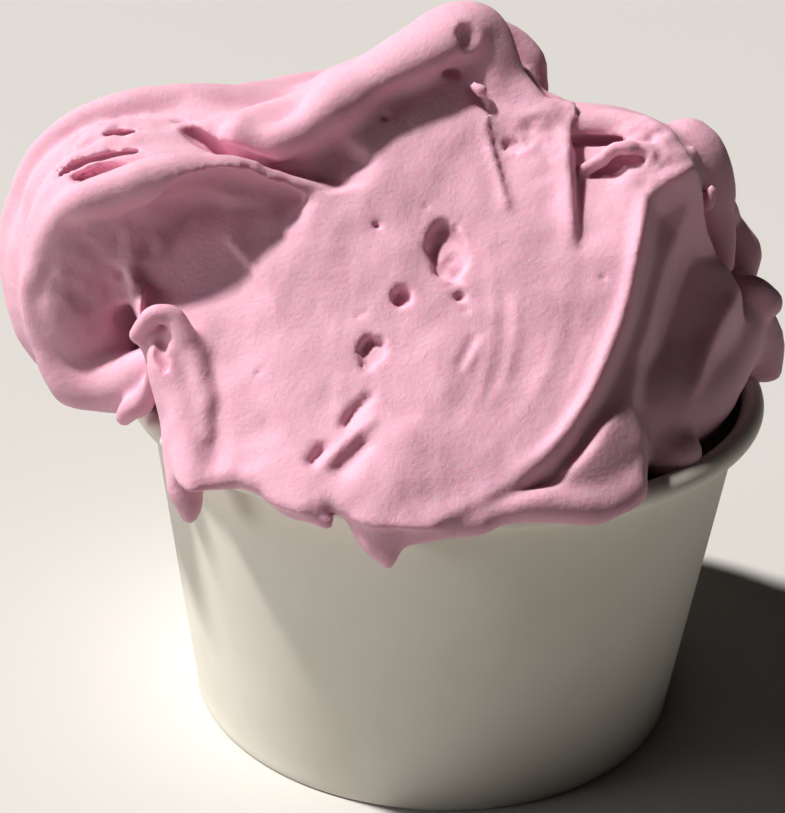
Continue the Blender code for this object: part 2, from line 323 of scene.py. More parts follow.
@dataclass
class FrontFace:
    """The spread front of the heap: a relief over a plane that slopes down to the front.

    Places on it are given across (to the right) and down the slope, in mm from the middle point.
    """

    middle: Point = (0.0, -21.0, 77.0)
    left: float = -48.0
    right: float = 48.0
    top: float = -30.0
    bottom: float = 48.0
    step: float = 0.25
    depth: float = 30.0
    left_sag: float = 0.0048
    right_rise: float = 0.0040
    right_sag: float = 0.0010
    low_lean: float = 0.0020
    lean_start: float = 4.0
    sag_reach: float = 26.0
    top_sag_share: float = 0.35
    ease_start: float = -15.0
    ease_length: float = 45.0
    shoulder_slope: float = 0.5
    shoulder_reach: float = 8.0
    mound_gap: float = 3.5
    hollow_slope: float = 0.36
    hollow_start: float = 24.0
    hollow_reach: float = 30.0
    flatness: float = 0.85
    rim_rounding: float = 2.2
    back_rounding: float = 2.0
    heights: np.ndarray = field(init=False)

    OUTLINE = (
        (-42.5, -6.0), (-41.0, -13.0), (-36.5, -18.0), (-29.0, -20.5), (-23.0, -22.5), (-17.0, -25.5),
        (-12.0, -28.0), (-6.0, -30.5), (0.0, -31.5), (6.0, -30.0), (9.5, -26.5), (12.0, -23.5),
        (16.0, -23.0), (21.0, -22.2), (25.5, -20.3), (28.6, -17.6), (30.6, -14.0), (33.5, -9.8),
        (38.0, -6.0), (41.5, -1.0), (39.0, 8.0), (36.0, 15.0), (32.0, 20.5), (28.0, 22.5), (26.5, 25.0),
        (26.2, 30.0), (24.0, 33.0), (20.0, 34.8), (15.0, 36.0), (9.0, 36.5), (5.0, 38.0), (1.5, 40.0),
        (-3.0, 43.0), (-6.2, 45.0), (-9.5, 41.5), (-11.2, 37.0), (-13.0, 36.0), (-17.5, 38.0),
        (-20.0, 36.0), (-22.0, 33.5), (-25.0, 32.5), (-28.5, 33.4), (-30.5, 35.0), (-32.3, 34.0),
        (-34.0, 28.5), (-35.2, 23.0), (-36.4, 19.0), (-37.8, 15.0), (-39.8, 11.0), (-42.0, 6.0),
        (-42.8, 0.0),
    )
    TOP_LAYER = Layer(
        (
            (-60.0, -40.0), (48.0, -40.0), (48.0, -19.0), (33.0, -13.5), (28.0, -10.0), (25.0, -7.5),
            (24.6, -2.5), (24.0, 1.5), (23.2, 6.0), (22.3, 10.0), (20.6, 15.0), (18.6, 20.0), (16.0, 25.0),
            (13.0, 28.5), (9.5, 31.5), (5.0, 34.2), (0.5, 37.2), (-2.0, 40.0), (-5.0, 46.0), (-20.0, 60.0),
            (-60.0, 60.0),
        ),
        share=1.0, drop=0.0, rounding=0.55, slope=2.0,
    )
    SECOND_LAYER = Layer(
        (
            (-60.0, -40.0), (31.0, -40.0), (31.8, -19.0), (31.6, -12.0), (30.4, -7.0), (28.4, -1.5),
            (27.0, 3.5), (25.9, 8.5), (24.6, 12.5), (24.2, 16.0), (23.9, 19.5), (25.2, 22.5), (25.8, 26.0),
            (26.0, 31.0), (22.0, 35.0), (10.0, 37.0), (0.0, 44.0), (-20.0, 60.0), (-60.0, 60.0),
        ),
        share=0.4, drop=1.7, rounding=0.4, slope=2.4,
    )
    THIRD_LAYER = Layer(
        (
            (-60.0, -40.0), (34.0, -40.0), (35.0, -16.0), (37.0, -8.0), (39.8, -2.8), (38.6, 0.5),
            (37.0, 3.5), (35.5, 7.0), (34.0, 11.5), (32.5, 15.0), (31.0, 18.5), (28.0, 24.0), (20.0, 34.0),
            (0.0, 60.0), (-60.0, 60.0),
        ),
        share=0.25, drop=8.4, rounding=0.5, slope=2.4,
    )

    RELIEFS = {
        "top_step": Relief(((15.7, -19.0), (15.9, -12.0), (16.2, -6.0), (16.6, 1.0)), -2.8, 0.8, shelf=7.0),
        "top_step_ridge": Relief(((14.3, -18.0), (14.6, -12.0), (15.0, -6.0), (15.7, 0.0)), 1.0, 1.3),
        "top_groove": Relief(((4.7, -17.0), (6.5, -10.5), (8.0, -4.5)), -1.0, 0.5, shelf=4.0),
        "third_crest": Relief(
            ((39.0, -2.0), (37.2, 2.5), (35.2, 7.0), (33.6, 11.5), (31.5, 17.0)),
            2.5, 1.6,
        ),
        "groove_edge": Relief(((4.0, -16.5), (5.8, -10.5), (7.4, -5.0)), 0.4, 0.7),
        "edge_lip": Relief(
            ((24.0, -9.0), (24.2, -4.5), (23.3, 1.5), (22.2, 7.0), (20.0, 14.0), (17.4, 20.5), (13.0, 27.0),
             (7.0, 32.0)),
            0.85, 0.9,
        ),
        "first_crease": Relief(((-8.5, 20.3), (-10.0, 21.8), (-11.3, 23.4), (-12.5, 26.0)), -1.3, 0.65),
        "second_crease": Relief(((-14.0, 27.3), (-15.2, 28.8), (-16.2, 30.6)), -1.2, 0.66),
        "fold_crest": Relief(((-7.5, 23.0), (-10.0, 25.7), (-12.5, 28.3), (-15.0, 31.4)), 0.6, 0.8),
        "fold_valley": Relief(((-8.5, 26.5), (-10.5, 29.0), (-13.0, 32.0)), -0.9, 1.1),
        "corner_swell": Relief(((-3.5, 24.0), (-6.0, 30.0), (-7.0, 37.0)), 0.5, 3.5),
        "drip_groove": Relief(((-31.0, 13.5), (-29.5, 18.5), (-28.5, 25.0), (-28.0, 31.5)), -1.3, 1.3),
        "inner_sweep": Relief(((4.5, -4.0), (5.4, 4.0), (5.6, 10.0), (4.6, 20.0), (1.0, 27.0)), 0.16, 0.7),
        "middle_sweep": Relief(((8.0, 5.0), (8.7, 10.0), (8.2, 15.0), (6.5, 20.0), (2.0, 27.0)), 0.16, 0.6),
        "outer_sweep": Relief(
            ((14.0, 2.0), (14.5, 9.0), (12.5, 17.0), (8.0, 25.0), (1.0, 32.0)),
            0.12, 0.8,
        ),
        "sweep_hollow": Relief(((6.8, 4.0), (7.1, 10.0), (6.4, 17.0), (3.5, 25.0)), -0.14, 0.8),
        "slash": Relief(((3.6, 11.5), (2.6, 14.5), (1.2, 17.5)), -0.35, 0.55),
        "slash_edge": Relief(((4.6, 11.5), (3.7, 14.5), (2.3, 17.8)), 0.18, 0.5),
        "long_score": Relief(((17.5, 10.0), (16.4, 14.0), (14.5, 19.0)), -0.15, 0.35),
        "broad_band": Relief(((1.5, 10.0), (0.0, 18.0), (-2.5, 27.0), (-5.0, 35.0)), 0.45, 3.5),
        "left_dip": Relief(((-20.0, 24.0), (-24.0, 27.0), (-22.0, 31.0)), -0.4, 3.0),
        "shade_dip": Relief(((-13.0, -15.0), (-15.5, -11.0), (-15.0, -7.5)), -1.6, 3.0),
        "drip_crest": Relief(((-34.5, 14.0), (-33.0, 20.5), (-31.5, 27.5), (-30.5, 34.0)), 0.8, 2.0),
        "valley": Relief(
            ((-40.0, 3.0), (-40.0, -3.0), (-38.0, -7.5), (-34.5, -10.5), (-30.0, -11.8), (-25.0, -11.2),
             (-20.5, -10.0), (-17.0, -9.0)),
            -7.0, 6.0, shelf=-10.0,
        ),
        "outer_crescent": Relief(((-33.0, -11.0), (-36.5, -8.0), (-38.2, -3.5), (-38.6, 1.5)), 0.9, 1.2),
        "inner_crescent": Relief(((-31.0, -8.5), (-33.5, -6.5), (-34.8, -3.5)), 0.7, 1.0),
    }

    MOUNDS = {
        "low_bulge": Mound((19.8, 27.0), (8.6, 7.5), 3.0),
        "low_bulge_left": Mound((11.0, 34.0), (6.0, 2.6), 1.6),
        "right_bump": Mound((29.0, 17.5), (3.5, 3.0), 2.0),
    }

    PITS = {
        "large_pit": Pit((-0.6, 0.2), (2.5, 4.6), -12.0, 2.1),
        "round_pit": Pit((-6.0, 7.0), (1.45, 1.35), 0.0, 2.0),
        "lower_pit": Pit((-9.3, 14.4), (1.7, 1.8), 20.0, 2.4),
        "lower_pit_tail": Pit((-9.8, 16.6), (0.9, 0.8), 20.0, 1.2),
        "small_pit": Pit((1.6, 6.6), (0.8, 0.65), 0.0, 1.0),
        "small_pit_low": Pit((2.1, 8.6), (0.45, 0.35), 0.0, 0.5),
        "upper_pit": Pit((-9.5, -19.0), (0.55, 0.5), 0.0, 0.9),
        "pin_hole_left": Pit((-17.8, -10.0), (0.35, 0.35), 0.0, 0.6),
        "pin_hole_middle": Pit((-3.4, -6.0), (0.3, 0.3), 0.0, 0.6),
        "ragged_pit": Pit((-9.6, -3.0), (0.65, 0.5), 30.0, 0.9),
        "pin_hole_right": Pit((19.4, 3.6), (0.3, 0.3), 0.0, 0.5),
        "rim_pit": Pit((10.5, -19.2), (0.6, 0.5), 0.0, 0.6),
        "shallow_pit": Pit((-11.0, 9.6), (0.9, 0.35), -20.0, 0.3),
        "scratch_pit": Pit((-23.5, 17.6), (0.8, 0.4), -60.0, 0.45),
        "groove_hollow": Pit((7.6, -15.5), (1.5, 0.9), 25.0, 0.9),
    }

    def __post_init__(self) -> None:
        """Draw the relief once, on a fine grid over the face."""
        across = np.arange(self.left, self.right + self.step, self.step)
        down = np.arange(self.top, self.bottom + self.step, self.step)
        grid = np.stack(np.meshgrid(across, down, indexing="ij"), -1).reshape(-1, 2)
        spread = self.spread_heights(grid)
        past_top = self.outline_distance(grid, self.TOP_LAYER.outline)
        top = self.layer_heights(self.TOP_LAYER, spread, past_top)
        second = self.layer_heights(
            self.SECOND_LAYER,
            spread,
            self.outline_distance(grid, self.SECOND_LAYER.outline),
            self.mound_heights(grid, past_top)
            - self.shoulder_slope * np.clip(past_top, 0.0, self.shoulder_reach),
        )
        third = self.layer_heights(
            self.THIRD_LAYER,
            spread,
            self.outline_distance(grid, self.THIRD_LAYER.outline),
            -self.hollow_slope * np.clip(grid[:, 0] - self.hollow_start, 0.0, self.hollow_reach),
        )
        heights = soft_max(top, soft_max(second, third, 0.5), 0.5)
        for pit in self.PITS.values():
            heights -= self.pit_depths(pit, grid)
        self.heights = heights.reshape(len(across), len(down)).astype(np.float32)

    def spread_heights(self, grid: np.ndarray) -> np.ndarray:
        """Work out how the spread top stands off the sloping plane.

        Args:
            grid: Places across and down, one row each.

        Returns:
            The heights in mm.
        """
        ease = smooth_step((grid[:, 1] - self.ease_start) / self.ease_length)
        left = -self.left_sag * (self.top_sag_share + (1.0 - self.top_sag_share) * ease)
        right = self.right_rise * (1.0 - ease) - self.right_sag * ease
        spread = np.where(grid[:, 0] < 0, left, right) * np.minimum(grid[:, 0], self.sag_reach) ** 2
        spread += self.low_lean * np.maximum(grid[:, 1] - self.lean_start, 0.0) ** 2
        spread += 0.30 * Grain(3, 9.0).sample(grid) + 0.13 * Grain(4, 3.2).sample(grid)
        wiped_down = np.array([1.0, 0.6])
        spread += 0.06 * Grain(5, 1.3).sample(grid * wiped_down)
        for relief in self.RELIEFS.values():
            spread += self.relief_heights(relief, grid)
        return spread

    def mound_heights(self, grid: np.ndarray, past_top: np.ndarray) -> np.ndarray:
        """Work out the swellings beside the top layer.

        Args:
            grid: Places across and down, one row each.
            past_top: Distances past the top layer's edge, negative on it.

        Returns:
            The heights in mm.
        """
        heights = np.zeros(len(grid))
        clear = smooth_step(past_top / self.mound_gap)
        for mound in self.MOUNDS.values():
            away = (grid - np.array(mound.spot)) / np.array(mound.sizes)
            heights += mound.height * clear * np.exp(-(away ** 2).sum(1))
        return heights

    @staticmethod
    def layer_heights(
        layer: Layer, spread: np.ndarray, outside: np.ndarray, extra: np.ndarray | float = 0.0
    ) -> np.ndarray:
        """Work out one layer's heights, with its fall past its edge.

        Args:
            layer: The layer.
            spread: Heights of the spread top, in mm.
            outside: Distances past the layer's edge, negative on the layer.
            extra: What is added to the layer before its edge, in mm.

        Returns:
            The heights in mm.
        """
        past = np.maximum(outside + layer.rounding, 0.0)
        bend = np.minimum(past, 2.0 * layer.rounding)
        straight = np.maximum(past - 2.0 * layer.rounding, 0.0)
        fall = layer.slope * (bend * bend / (4.0 * layer.rounding) + straight)
        return spread * layer.share - layer.drop + extra - fall

    @staticmethod
    def outline_distance(points: np.ndarray, outline: tuple[Spot, ...]) -> np.ndarray:
        """Signed distances to a closed outline, negative inside.

        Args:
            points: Places across and down, one row each.
            outline: Corners of the outline.

        Returns:
            The distances in mm.
        """
        corners = np.array(outline)
        nearest = np.full(len(points), 1e9)
        inside = np.zeros(len(points), bool)
        for start, end in zip(corners, np.roll(corners, -1, axis=0)):
            along = end - start
            offset = points - start
            share = np.clip(offset @ along / (along @ along), 0.0, 1.0)
            gap = offset - share[:, None] * along
            nearest = np.minimum(nearest, (gap * gap).sum(1))
            crosses = (start[1] > points[:, 1]) != (end[1] > points[:, 1])
            rise = along[1] if along[1] != 0 else 1e-9
            inside ^= crosses & (points[:, 0] < start[0] + along[0] * (points[:, 1] - start[1]) / rise)
        return np.where(inside, -1.0, 1.0) * np.sqrt(nearest)

    @staticmethod
    def relief_heights(relief: Relief, grid: np.ndarray) -> np.ndarray:
        """Heights that one ridge or groove adds over the grid.

        Args:
            relief: The ridge or groove.
            grid: Places across and down, one row each.

        Returns:
            The heights in mm.
        """
        path = path_points(np.array(relief.path), relief.steps)
        nearest = np.full(len(grid), 1e9)
        side = np.zeros(len(grid))
        share_along = np.zeros(len(grid))
        count = len(path) - 1
        for i, (start, end) in enumerate(zip(path[:-1], path[1:])):
            along = end - start
            offset = grid - start
            share = np.clip(offset @ along / (along @ along), 0.0, 1.0)
            gap = offset - share[:, None] * along
            apart = np.sqrt((gap * gap).sum(1))
            closer = apart < nearest
            nearest = np.where(closer, apart, nearest)
            side = np.where(closer, along[0] * offset[:, 1] - along[1] * offset[:, 0], side)
            share_along = np.where(closer, (i + share) / count, share_along)
        if relief.shelf != 0.0:
            width = np.where(side * relief.shelf < 0, abs(relief.shelf), relief.width * 0.5)
            strength = 1.0 - share_along ** relief.shelf_fade
        else:
            width = relief.width
            strength = smooth_step(share_along / relief.end_share)
            strength = strength * smooth_step((1.0 - share_along) / relief.end_share)
        return relief.height * strength * np.exp(-(nearest / width) ** 2)

    @staticmethod
    def pit_depths(pit: Pit, grid: np.ndarray) -> np.ndarray:
        """Work out a pit's depths: deeper on its left, with a ragged rim.

        Args:
            pit: The pit.
            grid: Places across and down, one row each.

        Returns:
            The depths in mm.
        """
        angle = math.radians(pit.turn)
        local = grid - np.array(pit.spot)
        across = (local[:, 0] * math.cos(angle) + local[:, 1] * math.sin(angle)) / pit.sizes[0]
        down = (-local[:, 0] * math.sin(angle) + local[:, 1] * math.cos(angle)) / pit.sizes[1]
        ragged, uneven = 0.12 * Grain(11, 0.9).sample(grid), 0.15 * Grain(12, 1.0).sample(grid)
        edge = np.sqrt(across * across + down * down) + ragged
        floor = 0.80 - 0.22 * np.clip(across, -1.0, 1.0) + uneven
        wall_start, wall_width = 0.82, 0.28
        return pit.depth * floor * (1.0 - smooth_step((edge - wall_start) / wall_width))

    def distance(self, points: np.ndarray) -> np.ndarray:
        """Measure how far points are from the spread front.

        Args:
            points: Places in mm about the cup's axis, one row each.

        Returns:
            The distances in mm, negative in the gelato.
        """
        half = math.sqrt(0.5)
        offset = points - np.array(self.middle)
        across = points[:, 0]
        down = -(offset[:, 1] + offset[:, 2]) * half
        out = (offset[:, 2] - offset[:, 1]) * half
        column = np.clip((across - self.left) / self.step, 0, self.heights.shape[0] - 1.001)
        row = np.clip((down - self.top) / self.step, 0, self.heights.shape[1] - 1.001)
        i, j = column.astype(int), row.astype(int)
        a, b = column - i, row - j
        height = (
            self.heights[i, j] * (1 - a) * (1 - b) + self.heights[i + 1, j] * a * (1 - b)
            + self.heights[i, j + 1] * (1 - a) * b + self.heights[i + 1, j + 1] * a * b
        )
        over = (out - height) * self.flatness
        edge = self.outline_distance(np.stack([across, down], 1), self.OUTLINE)
        return soft_max(soft_max(over, edge, self.rim_rounding), -out - self.depth, self.back_rounding)


@dataclass
class GelatoShape:
    """The whole heap of gelato as a field of distances, in mm about the cup's axis."""

    wall_top_radius: float
    wall_foot_radius: float
    cup_height: float
    wall: float = 0.6
    wall_gap: float = 0.3
    rim_gap: float = 1.0
    far: float = 12.0
    fillet: float = 1.2
    soft_fillet: float = 3.0
    peak_foot: float = 83.0
    peak_right: float = 10.0
    peak_ease: float = 6.0
    hollow_foot: float = 62.0
    hollow_right: float = -33.0
    hollow_ease: float = 5.0
    face_low: Point = (-46.0, -90.0, 44.0)
    face_high: Point = (46.0, 8.0, 120.0)
    step: float = 0.5
    coarse: int = 4
    low: Point = (-67.0, -52.0, 42.0)
    high: Point = (53.0, 45.0, 107.0)
    front: FrontFace = field(default_factory=FrontFace)

    BODY = {
        "heap": Lump((0, 1, 55), (43, 40, 18), blend=4),
        "crest": Lump((0, 10, 70), (34, 24, 21), blend=6),
        "right_shoulder": Lump((23, 8, 68), (13, 17, 17), blend=5),
        "right_bulge": Lump((33, 6, 57), (14, 17, 10), (0, -15, 0), blend=3),
        "left_neck": Lump((-26, 7, 70), (20, 17, 17), blend=6),
        "back_left": Lump((-18, 20, 64), (24, 18, 20), blend=6),
        "back_right": Lump((14, 20, 65), (22, 18, 19), blend=6),
    }

    BACK = {
        "low_sweep": Stroke(
            ((33, 20, 61, 3.5), (22, 30, 63, 4.5), (8, 34.5, 66, 5), (-8, 34.5, 69, 5), (-22, 31, 72, 4.5),
             (-32, 23, 75, 3.5)),
            blend=3,
        ),
        "high_sweep": Stroke(
            ((30, 12, 77, 3), (20, 22, 80, 4), (6, 25.5, 83, 4.5), (-8, 24.5, 85, 4.5), (-20, 20, 86, 4),
             (-30, 13, 86, 3)),
            blend=3,
        ),
        "cross_sweep": Stroke(
            ((31, 17, 66, 3), (17, 28, 72, 4), (0, 31, 78, 4), (-13, 27.5, 81.5, 3.6), (-22, 21, 83, 2.8)),
            blend=3,
        ),
    }

    ROLL = {
        "roll_body": Stroke(
            ((-26, 0, 80, 8), (-34, 0, 78, 9.5), (-43, 0, 73, 13), (-49, 0, 67, 14), (-51, -2, 60, 12),
             (-49, -6, 54, 8)),
            blend=4,
        ),
        "outer_lip": Stroke(
            ((-31, 6, 86, 3), (-36.5, 5, 87, 3), (-42, 4, 87.5, 2.6), (-46.5, 3.5, 87, 2.5),
             (-51, 3, 85.5, 2.5), (-54.5, 2.5, 83.5, 2.5), (-58, 2, 80, 2.6), (-60.5, 1.5, 75.5, 2.6),
             (-62, 1, 70, 2.8), (-62, 0, 65, 2.8), (-60, -2, 61, 2.8), (-57.5, -5, 58, 2.8)),
            blend=3,
        ),
        "lip_web": Stroke(
            ((-30, -12, 83, 3.5), (-34.5, -12, 82, 4.5), (-38.5, -12, 81.5, 5), (-42.5, -12, 81, 5),
             (-47.5, -12, 79.5, 5), (-50.5, -12, 77.5, 5), (-52, -12, 74, 5), (-53, -12, 69, 5),
             (-53, -12, 64, 5), (-52, -13, 58.5, 5), (-48.5, -14, 54.5, 4.5)),
            blend=3,
        ),
        "fill_behind": Stroke(
            ((-36, -5, 82, 4.5), (-39.5, -5, 82.5, 4.8), (-44, -5, 82.5, 5), (-48.5, -5, 81.5, 5),
             (-52, -5, 79.5, 4.8), (-54.5, -5, 77, 4.5)),
            blend=3,
        ),
        "hollow": Lump((-29, -26, 71), (16, 16, 12.5), blend=3, work=Work.CARVE),
        "face_fill_left": Stroke(
            ((-48, -13.5, 76.5, 5), (-50.5, -13.5, 72.5, 6), (-51.5, -13.5, 67.5, 6), (-51, -14, 62.5, 6),
             (-49, -13.5, 58, 5)),
            blend=3,
        ),
        "face_fill_right": Stroke(
            ((-42, -12, 78, 5), (-44, -11.5, 73.5, 6), (-45.5, -11.5, 68.5, 6), (-46.5, -12, 63.5, 5.5),
             (-47, -12.5, 59, 4)),
            blend=3,
        ),
        "tail_root": Stroke(
            ((-29, -13.5, 82, 2.5), (-25.5, -13, 81.5, 2.2), (-21.5, -12.5, 81, 1.9),
             (-18, -12.5, 80.5, 1.3)),
            blend=2,
        ),
        "hollow_low": Lump((-42, -17, 63), (3, 4.5, 3), blend=2, work=Work.CARVE),
        "brow": Stroke(
            ((-16, -14, 81, 0.6), (-19, -14.5, 82, 1.0), (-21.5, -15, 82.5, 1.4), (-25, -16, 83.5, 1.9),
             (-28.5, -17, 84.5, 2.2), (-32, -18, 84.5, 2.5), (-36, -18.5, 84.5, 2.7), (-40, -19, 83.5, 2.9),
             (-43.5, -19, 82, 2.9), (-47.5, -19, 80.5, 2.6), (-50.5, -18, 78.5, 2.0), (-53, -17.5, 75, 1.4),
             (-54.5, -17, 71, 1.2), (-56, -17, 68, 1.2), (-56, -17, 65.5, 1.2), (-55.5, -17, 63, 1.3),
             (-54, -17, 59, 1.8), (-52.5, -17, 56, 3.0), (-50, -17, 54, 4.0), (-46.5, -17.5, 54, 4.3),
             (-42.5, -19.5, 55.5, 4.0), (-39.5, -21.5, 58, 3.4)),
            blend=2,
        ),
        "ridge_above_slit": Stroke(
            ((-34, -10, 85, 1.2), (-38, -10, 85.5, 1.6), (-43, -10, 85.5, 1.8), (-47, -10, 84.5, 1.8),
             (-50.5, -10.5, 83, 1.7), (-53, -11, 80.5, 1.5), (-55, -12, 78, 1.1)),
            blend=1.2,
        ),
        "ridge_below_slit": Stroke(
            ((-34.5, -14, 85, 1.0), (-40, -14, 85, 1.1), (-44.5, -14, 84.5, 0.9), (-48, -14, 83.5, 0.8),
             (-50.5, -14, 81.5, 0.7)),
            blend=0.8,
        ),
        "thin_slit": Stroke(
            ((-46.5, -7, 86, 1.2), (-43.5, -7, 86.5, 1.6), (-39.5, -7.5, 86.5, 1.2)),
            blend=0.3, work=Work.CARVE, squeeze=5.0, across=(0, 0.3, 0.95),
        ),
        "long_slit": Stroke(
            ((-52.5, -12.5, 80.5, 1.3), (-50, -12, 82.5, 2.0), (-47, -12, 84, 2.2), (-42.5, -12, 85, 2.0),
             (-38, -12.5, 85, 1.6), (-35, -13, 85.5, 0.8)),
            blend=0.3, work=Work.CARVE, squeeze=5.0, across=(0, 0.3, 0.95),
        ),
        "short_slit": Stroke(
            ((-49, -15.5, 82.5, 1.6), (-47, -15.5, 83, 2.2), (-45, -15.5, 84, 1.8), (-42, -16, 84, 0.8)),
            blend=0.3, work=Work.CARVE, squeeze=3.0, across=(0, 0.3, 0.95),
        ),
    }

    CROWN = {
        "saddle": Stroke(
            ((-44, 8, 84, 4.5), (-37, 8, 84.5, 4.5), (-30, 9, 84.5, 4.5), (-22.5, 10, 84.5, 4.5),
             (-17, 10, 86.5, 5)),
            blend=4,
        ),
        "saddle_front": Stroke(
            ((-36, 2, 84, 3.5), (-30, -2, 84, 4), (-24, -3, 85, 5), (-16, -1, 88, 5.5)),
            blend=3,
        ),
        "peak_back": Lump((-6, 10, 87), (15, 10, 10), (0, -18, 0), blend=5),
        "curl_gap": Stroke(
            ((-38, -3, 87.5, 1.2), (-35.5, -6, 86.5, 1.8), (-33, -9, 86, 2.6), (-30, -12, 86, 3.0),
             (-27, -13.5, 86, 3.0), (-25, -14.5, 85.5, 2.0), (-23.5, -15, 85, 1.0)),
            blend=0.4, work=Work.CARVE, squeeze=4.5, across=(0, 0.3, 0.95),
        ),
        "peak_ridge": Stroke(
            ((-28.5, -10, 87.5, 2.5), (-25.5, -10.5, 87, 2.5), (-22.5, -11, 87.5, 2.5),
             (-19.5, -10, 89, 2.6), (-17, -9, 91, 2.8), (-15, -7.5, 92, 3.0)),
            blend=2,
        ),
        "peak_face": Stroke(
            ((-17, -7.5, 92, 3.0), (-13.5, -6, 94, 3.6), (-10, -4.5, 96, 4.0), (-5.5, -2, 98, 5.0),
             (-1.5, 0.5, 100, 5.4), (1.5, 1.5, 99.5, 4.8), (4, 0.5, 97, 3.8), (5.5, -1, 94, 2.8)),
            blend=3, squeeze=1.7, across=(-0.42, -0.42, 0.8),
        ),
        "peak_second": Stroke(
            ((5.5, 7, 99, 1.8), (7.5, 7, 97.5, 2.2), (9.5, 6, 95.5, 2.4), (10, 5, 93.5, 2.2),
             (11, 4, 92, 1.5)),
            blend=1,
        ),
        "peak_cleft": Stroke(
            ((4.5, 6, 101, 1.2), (6, 3, 98.5, 1.8), (7.5, 2, 95.5, 1.8), (8.5, 1, 93.5, 1)),
            blend=0.5, work=Work.CARVE, squeeze=3.5, across=(0.85, 0, 0.5),
        ),
        "peak_web": Stroke(
            ((8.5, 2, 94, 1.4), (11, 1, 92, 1.2), (13.5, 0, 91.5, 1.0), (15.5, -1, 90.5, 1.0)),
            blend=1.2,
        ),
        "top_fold": Lump((20, 3, 80), (15, 13, 10), (0, 0, 0), blend=3),
        "top_fold_rim": Stroke(
            ((6, -5.5, 89, 1.5), (9, -5.5, 90, 1.9), (12.5, -5.5, 90.5, 2.2), (15.5, -6, 89.5, 2.3),
             (19, -6, 89.5, 2.3), (23, -6, 89, 2.3), (26, -6, 88, 2.3), (28, -6, 87, 2.2),
             (29, -6.5, 86, 2.0), (30, -7.5, 84, 1.5)),
            blend=2.5,
        ),
        "right_mass": Stroke(
            ((32.5, 6, 84, 4.4), (34, 5, 82.5, 4.6), (35.5, 4, 79, 4.2), (36.5, 3, 76, 3.2),
             (38, 2, 72.5, 2.3), (39, 1, 69, 1.5)),
            blend=1.2,
        ),
        "back_knob": Stroke(
            ((38, 10, 76, 2.0), (39, 11, 73.5, 2.6), (40.5, 12, 71.5, 2.1), (41.5, 12, 69, 2.9),
             (43, 12, 66.5, 3.1), (42.5, 11, 63.5, 2.5), (43, 9, 61, 2.0)),
            blend=2.5,
        ),
        "right_knob": Stroke(
            ((43, 4, 60.5, 3.2), (45.5, 4, 56.5, 3.8), (45.5, 4, 51.5, 4.2), (45.5, 3, 48, 4.0),
             (44, 1, 45.5, 3.6)),
            blend=2,
        ),
        "knob_top": Stroke(((41.5, 2, 65, 2.0), (43.5, 1, 65, 2.2), (45.5, 1, 63.5, 2.2)), blend=1.5),
    }

